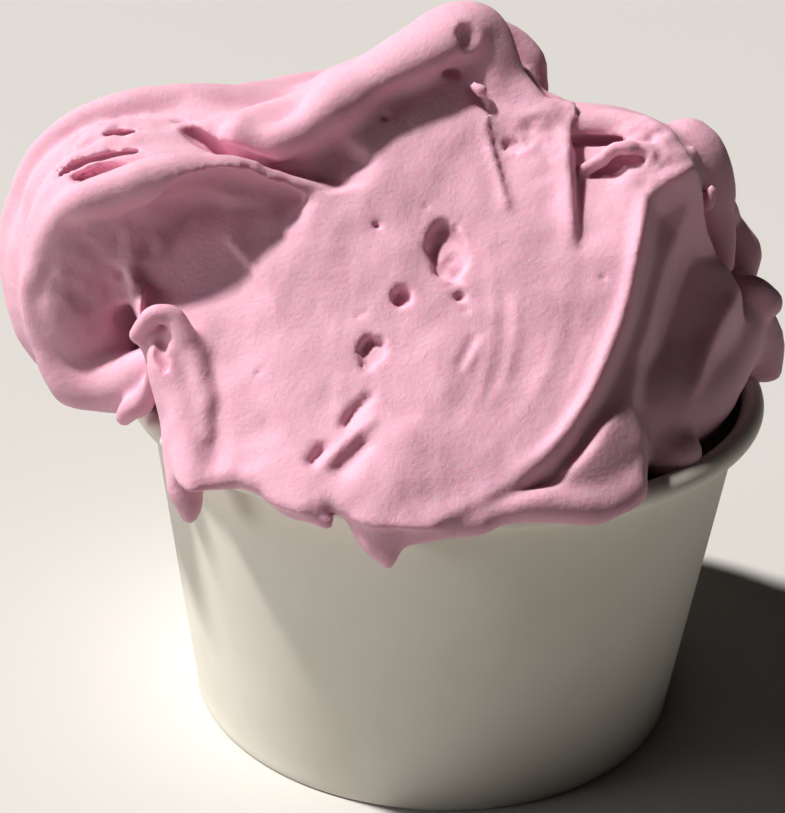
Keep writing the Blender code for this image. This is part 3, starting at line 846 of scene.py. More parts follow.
    LATE = {
        "low_bump": Lump((30, -27, 52.2), (4.4, 3.6, 3.2), (10, 0, 40), blend=1.5),
        "drip": Stroke(
            ((-37, -24.5, 65.5, 1.8), (-35.5, -26.5, 63.5, 2.1), (-35.5, -28.5, 61.5, 2.7),
             (-33.5, -30, 55.5, 3.1), (-33, -33, 53, 2.9), (-32.5, -35, 50.5, 2.6),
             (-32.5, -36.5, 48.5, 2.2), (-32, -37, 46.5, 1.7), (-32, -37, 45, 1.2)),
            blend=2.0,
        ),
        "hook": Stroke(
            ((-40, -26, 65, 1.1), (-39, -26.5, 66.5, 1.2), (-38, -27, 68, 1.2), (-36.5, -27, 68.5, 1.25),
             (-35, -27, 68, 1.3), (-33.5, -28, 66, 1.4), (-32.5, -28.5, 64.5, 1.4), (-31.5, -30, 62.5, 1.4),
             (-31, -31.5, 61, 1.3), (-30, -33, 59.5, 1.2), (-30, -35, 57.5, 1.0), (-29.5, -37, 56, 0.7)),
            blend=1.0,
        ),
        "hook_wedge": Stroke(
            ((-37, -28, 66, 0.9), (-36.5, -28.5, 65, 1.1), (-36.5, -29.5, 64, 1.0),
             (-35.5, -30.5, 62.5, 0.6)),
            blend=0.3, work=Work.CARVE,
        ),
        "hook_strand": Stroke(
            ((-39, -26, 63.5, 0.7), (-38.5, -26, 61.5, 0.65), (-38.5, -26, 59, 0.8), (-39, -25.5, 57, 1.2),
             (-40, -25, 55, 1.7), (-41.5, -25, 54, 1.5), (-42.5, -24.5, 52.5, 1.1)),
            blend=1.0,
        ),
        "small_drip": Stroke(
            ((-21.5, -37, 51.5, 2.2), (-19.5, -41, 51, 2.0), (-17.5, -44, 50.5, 1.5),
             (-15.5, -45.5, 50.5, 1.25), (-13.5, -46.5, 50, 1.0)),
            blend=1.5,
        ),
        "front_corner": Stroke(
            ((-9.5, -43, 51.5, 3.0), (-8, -44.5, 49.5, 3.0), (-7, -46, 47.5, 2.3), (-6, -46.8, 46, 1.4),
             (-6, -46.8, 45, 0.9)),
            blend=2.5,
        ),
        "corner_right": Stroke(
            ((-6.5, -45.5, 49.5, 2.6), (-4, -46, 49.6, 2.3), (-1, -46.3, 50.0, 2.0), (2, -46.2, 50.3, 1.7),
             (5, -46, 51, 1.4)),
            blend=2.5,
        ),
        "right_hem": Stroke(
            ((4, -46, 51, 1.2), (7, -45.5, 52, 1.4), (10.5, -44.5, 52.5, 1.7), (14.5, -43.5, 52, 1.9),
             (17.5, -42.5, 51.5, 2.0), (20, -41, 51.5, 1.9), (23, -39, 52.5, 1.7)),
            blend=2.0,
        ),
        "fold_slit": Stroke(
            ((15, -8, 88, 1.2), (16.5, -8, 88.5, 2.0), (19, -8, 88.5, 2.4), (21.5, -8, 88.5, 2.0),
             (23.5, -8.5, 88, 1.4)),
            blend=0.4, work=Work.CARVE, squeeze=3.4, across=(0, 0.3, 0.95),
        ),
        "curl_shade": Stroke(
            ((17.5, -10.5, 84.5, 0.8), (19.5, -11, 85.5, 1.4), (22, -11, 86.5, 1.6), (24, -11, 86.5, 1.5),
             (26, -10.5, 86, 0.9)),
            blend=0.5, work=Work.CARVE,
        ),
        "curl": Stroke(
            ((17, -11.5, 85.5, 0.85), (19, -12, 87, 0.9), (20.5, -12.5, 88.5, 0.9), (22.5, -12.5, 89, 0.95),
             (25, -12, 88.5, 1.05), (27, -11.5, 87.5, 1.2)),
            blend=0.6,
        ),
        "strand": Stroke(
            ((21, -11.5, 85, 0.5), (22, -12, 84.5, 0.45), (23, -12.5, 84, 0.4), (23.5, -13, 83, 0.8)),
            blend=0.4,
        ),
        "upper_bead": Stroke(((32.5, 0, 85.5, 0.6), (33, 0, 83, 0.9)), blend=0.4),
        "lower_bead": Stroke(((35.5, -1.5, 80.5, 0.7), (35, -2, 78.5, 1.1)), blend=0.4),
        "edge_hole": Lump((27, -10, 81.5), (1.2, 4, 1.2), blend=0.4, work=Work.CARVE),
        "saddle_gap": Stroke(
            ((-37, -7, 88.5, 1.2), (-35.5, -8.5, 88, 2.2), (-34.5, -9, 87, 3.0), (-33.5, -9.5, 86.5, 3.2),
             (-32, -10, 85.5, 3.2), (-30.5, -11, 85.5, 3.0), (-28, -12, 85.5, 2.6), (-26, -12.5, 85, 1.8),
             (-24.5, -12.5, 85, 1.2)),
            blend=0.5, work=Work.CARVE, squeeze=2.8, across=(0.45, 0.35, 0.82),
        ),
        "brow_shade": Stroke(
            ((-38, -18.5, 80, 1.2), (-36.5, -19, 81.5, 1.8), (-34.5, -19.5, 82.5, 2.4), (-32, -19, 83, 2.6),
             (-28.5, -18, 83, 2.6), (-25.5, -17, 82, 2.3), (-23, -16, 81.5, 1.8), (-20.5, -15, 81, 1.0)),
            blend=0.8, work=Work.CARVE,
        ),
        "saddle_slot": Lump((-24.5, -3, 88.5), (1.9, 2.5, 0.7), (0, -8, 0), blend=0.5, work=Work.CARVE),
        "peak_pit": Lump((1.5, -4, 100.5), (1.8, 1.2, 2.6), (-25, -30, 0), blend=0.3, work=Work.CARVE),
        "peak_slot": Lump((-1, -3.5, 95.5), (1.5, 2.2, 0.6), (0, 8, 0), blend=0.3, work=Work.CARVE),
        "peak_cut": Stroke(
            ((1.5, -5, 94, 1.2), (2.5, -5.5, 93, 1.5), (3.5, -6.5, 92, 0.8)),
            blend=0.3, work=Work.CARVE, squeeze=2.0, across=(0.8, 0, 0.6),
        ),
        "peak_bead": Stroke(((2, -5.5, 94.5, 0.6), (3, -6, 94, 0.85)), blend=0.3),
    }

    ROUGH = {
        "roll_face": RoughPatch((-46, -14, 69), 13.0, 0.34, 1.9),
        "torn_trough": RoughPatch((-47, -6, 84), 9.0, 0.42, 1.7),
        "brow_crest": RoughPatch((-24, -19, 85.5), 6.0, 0.30, 1.2),
        "top_rim": RoughPatch((12, -10, 90), 7.0, 0.35, 1.6),
        "right_rim": RoughPatch((25, -10, 85.5), 8.0, 0.55, 1.5),
        "right_side": RoughPatch((29, -8, 82), 5.0, 0.35, 1.5),
    }

    def apply(self, shapes: dict[str, Lump | Stroke], points: np.ndarray, held: np.ndarray) -> np.ndarray:
        """Add and carve shapes in turn.

        Args:
            shapes: The lumps and strokes by name.
            points: Places in mm, one row each.
            held: Distances so far.

        Returns:
            The new distances.
        """
        for shape in shapes.values():
            low, high = shape.box()
            near = np.flatnonzero(((points > low) & (points < high)).all(1))
            if not len(near):
                continue
            found = shape.distance(points[near]).astype(np.float32)
            if shape.work is Work.ADD:
                held[near] = soft_min(held[near], found, shape.blend)
            else:
                held[near] = soft_max(held[near], -found, shape.blend)
        return held

    def beyond_wall(self, points: np.ndarray) -> np.ndarray:
        """Measure how far points are from the room of the cup's wall and what is outside it, below the rim.

        Args:
            points: Places in mm, one row each.

        Returns:
            The distances in mm, negative in that room.
        """
        around = np.hypot(points[:, 0], points[:, 1])
        share = points[:, 2] / self.cup_height
        outer = self.wall_foot_radius + (self.wall_top_radius - self.wall_foot_radius) * share
        inner = outer - self.wall - self.wall_gap
        return np.maximum(inner - around, points[:, 2] - (self.cup_height - self.rim_gap))

    def face_blend(self, points: np.ndarray) -> np.ndarray:
        """Choose the fillet round the front face: broad under the peak and in the roll's hollow.

        Args:
            points: Places in mm, one row each.

        Returns:
            The widths in mm.
        """
        peak = smooth_step((points[:, 2] - self.peak_foot) / self.peak_ease)
        peak = peak * smooth_step((self.peak_right - points[:, 0]) / self.peak_ease)
        hollow = smooth_step((self.hollow_right - points[:, 0]) / self.hollow_ease)
        hollow = hollow * smooth_step((points[:, 2] - self.hollow_foot) / self.hollow_ease)
        broad = self.soft_fillet - self.fillet
        return (self.fillet + broad * peak * (1.0 - hollow) + broad * hollow).astype(np.float32)

    def distance(self, points: np.ndarray) -> np.ndarray:
        """Measure how far points are from the gelato's surface.

        Args:
            points: Places in mm, one row each.

        Returns:
            The distances in mm, negative inside.
        """
        held = np.full(len(points), self.far, np.float32)
        for shapes in (self.BODY, self.BACK, self.ROLL, self.CROWN):
            held = self.apply(shapes, points, held)
        near = np.flatnonzero(((points > self.face_low) & (points < self.face_high)).all(1))
        if len(near):
            face = self.front.distance(points[near]).astype(np.float32)
            held[near] = soft_min(held[near], face, self.face_blend(points[near]))
        held = soft_max(held, -self.beyond_wall(points).astype(np.float32), 1.0)
        held = self.apply(self.LATE, points, held)
        rough = 0.22 * Grain(21, 7.0).sample(points) + 0.08 * Grain(22, 2.4).sample(points)
        for patch in self.ROUGH.values():
            rough = rough + patch.lift(points)
        return held + rough.astype(np.float32)

    def field_values(self) -> tuple[np.ndarray, np.ndarray]:
        """Fill the fine lattice with distances, exact near the surface and coarse elsewhere.

        Returns:
            The lattice's values and its first corner.
        """
        low = np.array(self.low)
        wide = self.step * self.coarse
        cells = np.ceil((np.array(self.high) - low) / wide).astype(int)
        axes = [low[axis] + wide * np.arange(cells[axis] + 1) for axis in range(3)]
        nodes = np.stack(np.meshgrid(*axes, indexing="ij"), -1).reshape(-1, 3)
        rough = self.distance(nodes).reshape(cells + 1)
        block = rough[:-1, :-1, :-1]
        for shift in range(1, 8):
            x, y, z = shift & 1, (shift >> 1) & 1, shift >> 2
            other = rough[x:x + cells[0], y:y + cells[1], z:z + cells[2]]
            block = np.where(np.abs(other) < np.abs(block), other, block)
        near = np.abs(block) < wide * 1.3
        size = cells * self.coarse
        values = np.repeat(np.repeat(np.repeat(block, self.coarse, 0), self.coarse, 1), self.coarse, 2)
        fine = np.repeat(np.repeat(np.repeat(near, self.coarse, 0), self.coarse, 1), self.coarse, 2)
        at = np.argwhere(fine)
        places = low + at * self.step
        values[at[:, 0], at[:, 1], at[:, 2]] = self.distance(places)
        LOG.info("field of %s points, %d near the surface", tuple(size), len(at))
        return values, low

    @staticmethod
    def edge_ends(values: np.ndarray, axis: int) -> tuple[np.ndarray, np.ndarray]:
        """Pair up the lattice's values at the two ends of each edge along an axis.

        Args:
            values: The lattice's values.
            axis: Number of the axis.

        Returns:
            The values at the low ends and at the high ends.
        """
        low = [slice(None)] * 3
        high = [slice(None)] * 3
        low[axis], high[axis] = slice(0, -1), slice(1, None)
        return values[tuple(low)], values[tuple(high)]

    def cell_points(self, values: np.ndarray, low: np.ndarray) -> tuple[np.ndarray, np.ndarray]:
        """Put one point into each cell that the surface crosses, midway between the crossings of its edges.

        Args:
            values: The lattice's values.
            low: The lattice's first corner.

        Returns:
            The points in mm, and each cell's point number or -1.
        """
        shape = np.array(values.shape) - 1
        count = np.zeros(shape, np.int8)
        total = np.zeros((*shape, 3), np.float32)
        for axis in range(3):
            first, second = self.edge_ends(values, axis)
            crossed = (first < 0) != (second < 0)
            share = np.where(crossed, first / np.where(crossed, first - second, 1.0), 0.0)
            others = [other for other in range(3) if other != axis]
            for corner in range(4):
                shift = [0, 0, 0]
                shift[others[0]], shift[others[1]] = corner & 1, corner >> 1
                part = tuple(slice(start, start + size) for start, size in zip(shift, shape))
                hit = crossed[part]
                count += hit
                total[..., axis] += np.where(hit, share[part], 0.0)
                for other in others:
                    total[..., other] += np.where(hit, shift[other], 0.0)
        cells = np.argwhere(count > 0)
        picked = tuple(cells.T)
        index = np.full(shape, -1, np.int64)
        index[picked] = np.arange(len(cells))
        return low + (cells + total[picked] / count[picked][:, None]) * self.step, index

    def surface(self) -> tuple[np.ndarray, np.ndarray]:
        """Mesh the zero surface with one point for each crossed cell and a quad for each crossed edge.

        Returns:
            The points in mm and the quads' corners.
        """
        values, low = self.field_values()
        points, index = self.cell_points(values, low)
        inside = values < 0.0
        quads = []
        for axis in range(3):
            first, second = self.edge_ends(inside, axis)
            u, v = (axis + 1) % 3, (axis + 2) % 3
            back_u, back_v = np.zeros(3, int), np.zeros(3, int)
            back_u[u], back_v[v] = 1, 1
            for facing in (True, False):
                edges = np.argwhere((first & ~second) if facing else (~first & second))
                kept = (edges[:, u] > 0) & (edges[:, v] > 0) & (edges < index.shape).all(1)
                edges = edges[kept]
                ring = [edges - back_u - back_v, edges - back_v, edges, edges - back_u]
                corners = np.stack([index[tuple(cell.T)] for cell in ring], 1)
                quads.append(corners if facing else corners[:, ::-1])
        return points, np.vstack(quads)


@dataclass(frozen=True)
class Finish:
    """What the finishes share: a new material and the nodes that they are made of."""

    name: str

    def start(self) -> tuple[bpy.types.Material, bpy.types.NodeTree, bpy.types.Node]:
        """Make a new material.

        Returns:
            The material, its node tree and its shader.
        """
        made = bpy.data.materials.new(self.name)
        made.use_nodes = True
        return made, made.node_tree, made.node_tree.nodes["Principled BSDF"]

    @staticmethod
    def noise(tree: bpy.types.NodeTree, scale: float, detail: float) -> bpy.types.NodeSocket:
        """Add a noise texture in the object's own coordinates.

        Args:
            tree: The material's node tree.
            scale: Cells in a metre.
            detail: Octaves of the noise.

        Returns:
            The noise's output.
        """
        place = tree.nodes.new("ShaderNodeTexCoord")
        made = tree.nodes.new("ShaderNodeTexNoise")
        made.inputs["Scale"].default_value = scale
        made.inputs["Detail"].default_value = detail
        made.inputs["Roughness"].default_value = 0.6
        tree.links.new(place.outputs["Object"], made.inputs["Vector"])
        return made.outputs["Fac"]

    @staticmethod
    def ramp(
        tree: bpy.types.NodeTree, value: bpy.types.NodeSocket, stops: tuple[tuple[float, Point], ...]
    ) -> bpy.types.NodeSocket:
        """Turn a value into a colour.

        Args:
            tree: The material's node tree.
            value: The value, from 0 to 1.
            stops: Positions and colours, lowest first.

        Returns:
            The colour's output.
        """
        made = tree.nodes.new("ShaderNodeValToRGB")
        elements = made.color_ramp.elements
        while len(elements) < len(stops):
            elements.new(1.0)
        for element, (position, colour) in zip(elements, stops):
            element.position = position
            element.color = (*colour, 1)
        tree.links.new(value, made.inputs["Fac"])
        return made.outputs["Color"]

    @staticmethod
    def spread(
        tree: bpy.types.NodeTree, value: bpy.types.NodeSocket, low: float, high: float
    ) -> bpy.types.NodeSocket:
        """Spread a value from 0 to 1 over a range.

        Args:
            tree: The material's node tree.
            value: The value.
            low: The range's low end.
            high: The range's high end.

        Returns:
            The spread value's output.
        """
        made = tree.nodes.new("ShaderNodeMapRange")
        made.inputs["To Min"].default_value = low
        made.inputs["To Max"].default_value = high
        tree.links.new(value, made.inputs["Value"])
        return made.outputs["Result"]

    @staticmethod
    def bump(
        tree: bpy.types.NodeTree, height: bpy.types.NodeSocket, strength: float, distance: float
    ) -> bpy.types.Node:
        """Add fine unevenness that is too small for the mesh.

        Args:
            tree: The material's node tree.
            height: The unevenness.
            strength: Its strength.
            distance: Its height, in metres.

        Returns:
            The bump node.
        """
        made = tree.nodes.new("ShaderNodeBump")
        made.inputs["Strength"].default_value = strength
        made.inputs["Distance"].default_value = distance
        tree.links.new(height, made.inputs["Height"])
        return made


@dataclass(frozen=True)
class GelatoFinish(Finish):
    """Soft berry gelato: satin and faintly grainy, with light passing a little way in."""

    name: str = "berry_gelato_soft"
    colour: Point = (0.86, 0.53, 0.645)
    pale: Point = (0.89, 0.565, 0.675)
    deep: Point = (0.82, 0.49, 0.605)
    gloss: Spot = (0.50, 0.74)
    glow: float = 0.5
    glow_reach: Point = (1.0, 0.30, 0.40)
    glow_depth: float = 0.0012
    shine: float = 0.26

    def material(self) -> bpy.types.Material:
        """Build the material with its nodes.

        Returns:
            The material.
        """
        made, tree, shader = self.start()
        blotch = self.noise(tree, 160.0, 3.0)
        grain = self.noise(tree, 1500.0, 4.0)
        crystals = self.noise(tree, 5200.0, 2.0)
        mix = tree.nodes.new("ShaderNodeMix")
        mix.data_type = "FLOAT"
        mix.inputs["Factor"].default_value = 0.35
        tree.links.new(blotch, mix.inputs["A"])
        tree.links.new(grain, mix.inputs["B"])
        stops = ((0.30, self.deep), (0.52, self.colour), (0.75, self.pale))
        tone = self.ramp(tree, mix.outputs["Result"], stops)
        tree.links.new(tone, shader.inputs["Base Color"])
        tree.links.new(self.spread(tree, grain, *self.gloss), shader.inputs["Roughness"])
        fine = self.bump(tree, crystals, 0.35, 0.00010)
        coarse = self.bump(tree, grain, 0.38, 0.00030)
        tree.links.new(fine.outputs["Normal"], coarse.inputs["Normal"])
        tree.links.new(coarse.outputs["Normal"], shader.inputs["Normal"])
        shader.inputs["Subsurface Weight"].default_value = self.glow
        shader.inputs["Subsurface Radius"].default_value = self.glow_reach
        shader.inputs["Subsurface Scale"].default_value = self.glow_depth
        shader.inputs["Specular IOR Level"].default_value = self.shine
        return made


@dataclass(frozen=True)
class PaperFinish(Finish):
    """Matt white coated paperboard with faint mottling and pressed fibres."""

    name: str = "white_paperboard"
    colour: Point = (0.93, 0.905, 0.83)
    stained: Point = (0.87, 0.83, 0.74)
    gloss: Spot = (0.48, 0.62)
    shine: float = 0.3

    def material(self) -> bpy.types.Material:
        """Build the material with its nodes.

        Returns:
            The material.
        """
        made, tree, shader = self.start()
        mottle = self.noise(tree, 45.0, 4.0)
        fibres = self.noise(tree, 2600.0, 3.0)
        tone = self.ramp(tree, mottle, ((0.25, self.stained), (0.60, self.colour)))
        tree.links.new(tone, shader.inputs["Base Color"])
        pressed = self.bump(tree, fibres, 0.15, 0.00005)
        tree.links.new(pressed.outputs["Normal"], shader.inputs["Normal"])
        tree.links.new(self.spread(tree, mottle, *self.gloss), shader.inputs["Roughness"])
        shader.inputs["Specular IOR Level"].default_value = self.shine
        return made


def finished_object(
    name: str, mesh: bpy.types.Mesh, finish: bpy.types.Material, node: str
) -> bpy.types.Object:
    """Link a smooth piece that stands for a node of the frame.

    Args:
        name: The piece's name.
        mesh: Its mesh, in metres.
        finish: Its material.
        node: The node that it replaces.

    Returns:
        The new object.
    """
    piece = bpy.data.objects.new(name, mesh)
    bpy.context.scene.collection.objects.link(piece)
    mesh.shade_smooth()
    mesh.materials.append(finish)
    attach(piece, "root")
    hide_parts(node)
    LOG.info("%s: %d faces", name, len(mesh.polygons))
    return piece


@dataclass
class PaperCup:
    """The paper cup: conical wall, rolled rim, recessed floor and folded foot, all in metres."""

    axis: Spot
    height: float
    rim_radius: float
    foot_radius: float = 0.0370
    bead: float = 0.00165
    wall: float = 0.0006
    recess: float = 0.005
    foot_wall: float = 0.0013
    floor_corner: float = 0.001
    foot_rounding: float = 0.0002
    segments: int = 240
    unevenness: float = 0.00012
    rim_wave: float = 0.00008

    def wall_radius(self, height: float) -> float:
        """Find the wall's outer radius at a height.

        Args:
            height: The height, in metres.

        Returns:
            The radius, in metres.
        """
        top = self.rim_radius - 2 * self.bead + self.wall / 2
        return self.foot_radius + (top - self.foot_radius) * height / (self.height - 2 * self.bead)

    def profile(self) -> list[Spot]:
        """Draw the cup's section, from the floor inside over the rim to the recess below.

        Returns:
            Radius and height of its points, in metres.
        """
        floor = self.recess + self.wall
        inner = self.wall_radius(floor) - self.wall
        rows = [(0.0, floor), (inner - self.floor_corner, floor), (inner, floor + self.floor_corner)]
        for share in (0.3, 0.6, 0.9):
            height = self.height * share
            rows.append((self.wall_radius(height) - self.wall, height))
        centre = (self.rim_radius - self.bead, self.height - self.bead)
        for degrees in range(205, -96, -10):
            turn = math.radians(degrees)
            rows.append((centre[0] + self.bead * math.cos(turn), centre[1] + self.bead * math.sin(turn)))
        for share in (0.93, 0.9, 0.75, 0.5, 0.25, 0.08, 0.03):
            height = self.height * share
            rows.append((self.wall_radius(height), height))
        foot_inner = self.foot_radius - self.foot_wall
        rows += [
            (self.foot_radius + 0.00015, 3 * self.foot_rounding),
            (self.foot_radius, self.foot_rounding),
            (self.foot_radius - 0.0003, 0.0),
            (foot_inner + self.foot_rounding, 0.0),
            (foot_inner, self.foot_rounding),
            (foot_inner, self.recess - 2 * self.foot_rounding),
            (foot_inner - 0.0005, self.recess),
            (0.0, self.recess),
        ]
        return rows

    def build(self) -> bpy.types.Object:
        """Turn the section about the cup's axis, a little uneven, and finish it.

        Returns:
            The finished cup.
        """
        shape = bmesh.new()
        rows = []
        for radius, height in self.profile():
            if radius == 0.0:
                rows.append([shape.verts.new((self.axis[0], self.axis[1], height))])
                continue
            ring = []
            share = height / self.height
            for i in range(self.segments):
                angle = 2 * math.pi * i / self.segments
                wave = math.sin(2 * angle + 0.6) + 0.5 * math.sin(5 * angle + 1.9)
                out = radius + self.unevenness * wave * share
                lift = self.rim_wave * math.sin(3 * angle + 0.4) * share ** 4
                x = self.axis[0] + out * math.cos(angle)
                y = self.axis[1] + out * math.sin(angle)
                ring.append(shape.verts.new((x, y, height + lift)))
            rows.append(ring)
        for upper, lower in zip(rows[:-1], rows[1:]):
            for i in range(self.segments):
                j = (i + 1) % self.segments
                corners = [upper[i % len(upper)], lower[i % len(lower)]]
                corners += [lower[j % len(lower)], upper[j % len(upper)]]
                shape.faces.new(list(dict.fromkeys(corners)))
        bmesh.ops.recalc_face_normals(shape, faces=shape.faces)
        mesh = bpy.data.meshes.new("paper_cup_rolled")
        shape.to_mesh(mesh)
        shape.free()
        return finished_object("paper_cup_rolled", mesh, PaperFinish().material(), "paper_cup")


@dataclass
class Gelato:
    """The heap of gelato, which fills the cup and stands over it."""

    axis: Spot
    cup: PaperCup
    floor_gap: float = 0.0003
    floor_corner: float = 0.0015
    skirt_height: float = 0.028
    most_triangles: int = 190_000

    def build(self) -> bpy.types.Object:
        """Sculpt the heap, close it down to the cup's floor and finish it.

        Returns:
            The finished heap.
        """
        shape = GelatoShape(
            wall_top_radius=self.cup.wall_radius(self.cup.height) / MM,
            wall_foot_radius=self.cup.foot_radius / MM,
            cup_height=self.cup.height / MM,
        )
        points, quads = shape.surface()
        points = points * MM + np.array([self.axis[0], self.axis[1], 0.0])
        mesh = bpy.data.meshes.new("gelato_heap")
        mesh.from_pydata(points.tolist(), [], quads.tolist())
        self.close_below(mesh)
        piece = finished_object("gelato_heap", mesh, GelatoFinish().material(), "gelato")
        self.thin_out(piece)
        return piece

    def thin_out(self, piece: bpy.types.Object) -> None:
        """Take faces out of the smooth parts, which need fewer of them.

        Args:
            piece: The heap, given a modifier.
        """
        triangles = sum(len(face.vertices) - 2 for face in piece.data.polygons)
        thinner = piece.modifiers.new("fewer_faces", "DECIMATE")
        thinner.ratio = min(1.0, self.most_triangles / triangles)
        LOG.info("gelato thinned from %d to at most %d triangles", triangles, self.most_triangles)

    def close_below(self, mesh: bpy.types.Mesh) -> None:
        """Drop loose scraps and draw the open ring inside the cup down to the floor.

        Args:
            mesh: The heap's mesh, changed in place.
        """
        work = bmesh.new()
        work.from_mesh(mesh)
        self.keep_largest(work)
        open_edges = [edge for edge in work.edges if edge.is_boundary]
        floor = self.cup.recess + self.cup.wall + self.floor_gap
        for height in (self.skirt_height, floor + 0.002, floor):
            made = bmesh.ops.extrude_edge_only(work, edges=open_edges)["geom"]
            ring = [item for item in made if isinstance(item, bmesh.types.BMVert)]
            open_edges = [item for item in made if isinstance(item, bmesh.types.BMEdge)]
            for vert in ring:
                radius = self.cup.wall_radius(height) - self.cup.wall - self.floor_gap
                if height == floor:
                    radius -= self.floor_corner
                around = math.atan2(vert.co.y - self.axis[1], vert.co.x - self.axis[0])
                vert.co.x = self.axis[0] + radius * math.cos(around)
                vert.co.y = self.axis[1] + radius * math.sin(around)
                vert.co.z = height
        bmesh.ops.holes_fill(work, edges=open_edges, sides=0)
        bmesh.ops.recalc_face_normals(work, faces=work.faces)
        work.to_mesh(mesh)
        work.free()

    @staticmethod
    def keep_largest(work: bmesh.types.BMesh) -> None:
        """Delete every island of faces but the largest.

        Args:
            work: The mesh, changed in place.
        """
        work.verts.ensure_lookup_table()
        mark = [-1] * len(work.verts)
        sizes = []
        for start in work.verts:
            if mark[start.index] >= 0:
                continue
            number, size, waiting = len(sizes), 0, [start]
            mark[start.index] = number
            while waiting:
                vert = waiting.pop()
                size += 1
                for edge in vert.link_edges:
                    other = edge.other_vert(vert)
                    if mark[other.index] < 0:
                        mark[other.index] = number
                        waiting.append(other)
            sizes.append(size)
        largest = sizes.index(max(sizes))
        loose = [vert for vert in work.verts if mark[vert.index] != largest]
        bmesh.ops.delete(work, geom=loose, context="VERTS")
        LOG.info("gelato islands: %s", sizes[:8])


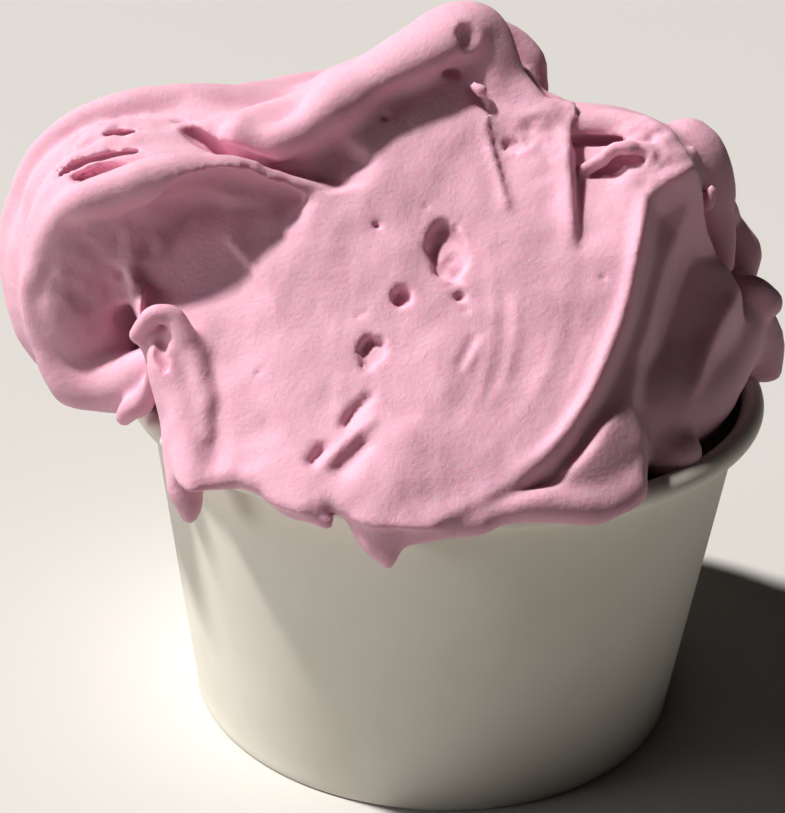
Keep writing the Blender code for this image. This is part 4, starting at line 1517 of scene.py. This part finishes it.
@dataclass
class Studio:
    """Floor, lights and camera, in metres about the cup's axis."""

    axis: Spot
    eye: Point = (0.0, -0.2217, 0.1455)
    aim: Point = (-0.00757, 0.0, 0.04473)
    roll: float = math.radians(1.92)
    focal: float = 1640.0
    frame_height: float = 813.0
    key_direction: Point = (-0.53, 0.08, 0.845)
    key_angle: float = math.radians(5.5)
    key_strength: float = 4.15
    side_distance: float = 1.8
    side_direction: Point = (-0.93, -0.36, 0.12)
    side_size: float = 0.8
    side_power: float = 9.2
    lit_height: float = 0.04
    floor_half: float = 6.0
    floor_for_light: Point = (0.48, 0.47, 0.445)
    floor_seen: Point = (0.68, 0.67, 0.65)
    fill_colour: Point = (1.0, 0.96, 0.97)
    fill_strength: float = 0.014
    backdrop: Point = (0.84, 0.83, 0.81)
    sensor_width: float = 36.0

    def build(self) -> None:
        """Set up everything around the cup."""
        self.floor()
        self.lights()
        self.camera()

    def floor(self) -> None:
        """Lay a plain pale floor, a little darker for the light that it throws back than for the camera."""
        half = self.floor_half
        corners = [(-half, -half, 0), (half, -half, 0), (half, half, 0), (-half, half, 0)]
        mesh = bpy.data.meshes.new("pale_floor")
        mesh.from_pydata(corners, [], [(0, 1, 2, 3)])
        floor = bpy.data.objects.new("pale_floor", mesh)
        bpy.context.scene.collection.objects.link(floor)
        made = bpy.data.materials.new("pale_floor")
        made.use_nodes = True
        nodes, links = made.node_tree.nodes, made.node_tree.links
        shader = nodes["Principled BSDF"]
        path = nodes.new("ShaderNodeLightPath")
        tone = nodes.new("ShaderNodeMix")
        tone.data_type = "RGBA"
        tone.inputs["A"].default_value = (*self.floor_for_light, 1)
        tone.inputs["B"].default_value = (*self.floor_seen, 1)
        links.new(path.outputs["Is Camera Ray"], tone.inputs["Factor"])
        links.new(tone.outputs["Result"], shader.inputs["Base Color"])
        shader.inputs["Roughness"].default_value = 0.9
        mesh.materials.append(made)

    @staticmethod
    def lamp(light: bpy.types.Light, toward: Vector) -> bpy.types.Object:
        """Link a lamp that shines from a direction.

        Args:
            light: The lamp's light.
            toward: Direction from the cup to the lamp.

        Returns:
            The lamp, at the origin.
        """
        made = bpy.data.objects.new(light.name, light)
        bpy.context.scene.collection.objects.link(made)
        made.rotation_mode = "QUATERNION"
        made.rotation_quaternion = toward.to_track_quat("Z", "Y")
        return made

    def lights(self) -> None:
        """Set up a steep key light and a weak low one, both from the left, and a faint even fill."""
        key = bpy.data.lights.new("key", "SUN")
        key.angle = self.key_angle
        key.energy = self.key_strength
        key.color = (1.0, 0.97, 0.94)
        self.lamp(key, Vector(self.key_direction).normalized())
        side = bpy.data.lights.new("side", "AREA")
        side.shape = "DISK"
        side.size = self.side_size
        side.energy = self.side_power
        toward = Vector(self.side_direction).normalized()
        lamp = self.lamp(side, toward)
        lamp.location = Vector((self.axis[0], self.axis[1], self.lit_height)) + toward * self.side_distance
        self.world()

    def world(self) -> None:
        """Make the faint fill, which the camera sees as a plain pale backdrop."""
        world = bpy.data.worlds.new("studio")
        world.use_nodes = True
        nodes, links = world.node_tree.nodes, world.node_tree.links
        faint = nodes["Background"]
        faint.inputs["Color"].default_value = (*self.fill_colour, 1)
        faint.inputs["Strength"].default_value = self.fill_strength
        seen = nodes.new("ShaderNodeBackground")
        seen.inputs["Color"].default_value = (*self.backdrop, 1)
        path = nodes.new("ShaderNodeLightPath")
        mix = nodes.new("ShaderNodeMixShader")
        links.new(path.outputs["Is Camera Ray"], mix.inputs["Fac"])
        links.new(faint.outputs["Background"], mix.inputs[1])
        links.new(seen.outputs["Background"], mix.inputs[2])
        links.new(mix.outputs["Shader"], nodes["World Output"].inputs["Surface"])
        bpy.context.scene.world = world

    def camera(self) -> None:
        """Set up the photograph's camera, worked out from how the cup's rim and foot look."""
        lens = bpy.data.cameras.new("camera")
        lens.sensor_width = self.sensor_width
        lens.lens = self.focal / self.frame_height * self.sensor_width
        lens.clip_start = 0.01
        camera = bpy.data.objects.new("camera", lens)
        bpy.context.scene.collection.objects.link(camera)
        shift = Vector((self.axis[0], self.axis[1], 0.0))
        eye, aim = Vector(self.eye) + shift, Vector(self.aim) + shift
        turn = (aim - eye).to_track_quat("-Z", "Y").to_matrix().to_4x4()
        camera.matrix_world = Matrix.Translation(eye) @ turn @ Matrix.Rotation(self.roll, 4, "Z")
        bpy.context.scene.camera = camera


def main() -> None:
    """Build the cup, its gelato and the studio."""
    logging.basicConfig(level=logging.INFO, format="%(message)s")
    low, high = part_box("paper_cup")
    axis = ((low[0] + high[0]) / 2, (low[1] + high[1]) / 2)
    bpy.context.scene.view_settings.view_transform = "Standard"
    bpy.context.scene.view_settings.gamma = PICTURE_GAMMA
    cup = PaperCup(axis=axis, height=high[2], rim_radius=(high[0] - low[0]) / 2)
    cup.build()
    Gelato(axis=axis, cup=cup).build()
    Studio(axis=axis).build()


if __name__ == "__main__":
    main()
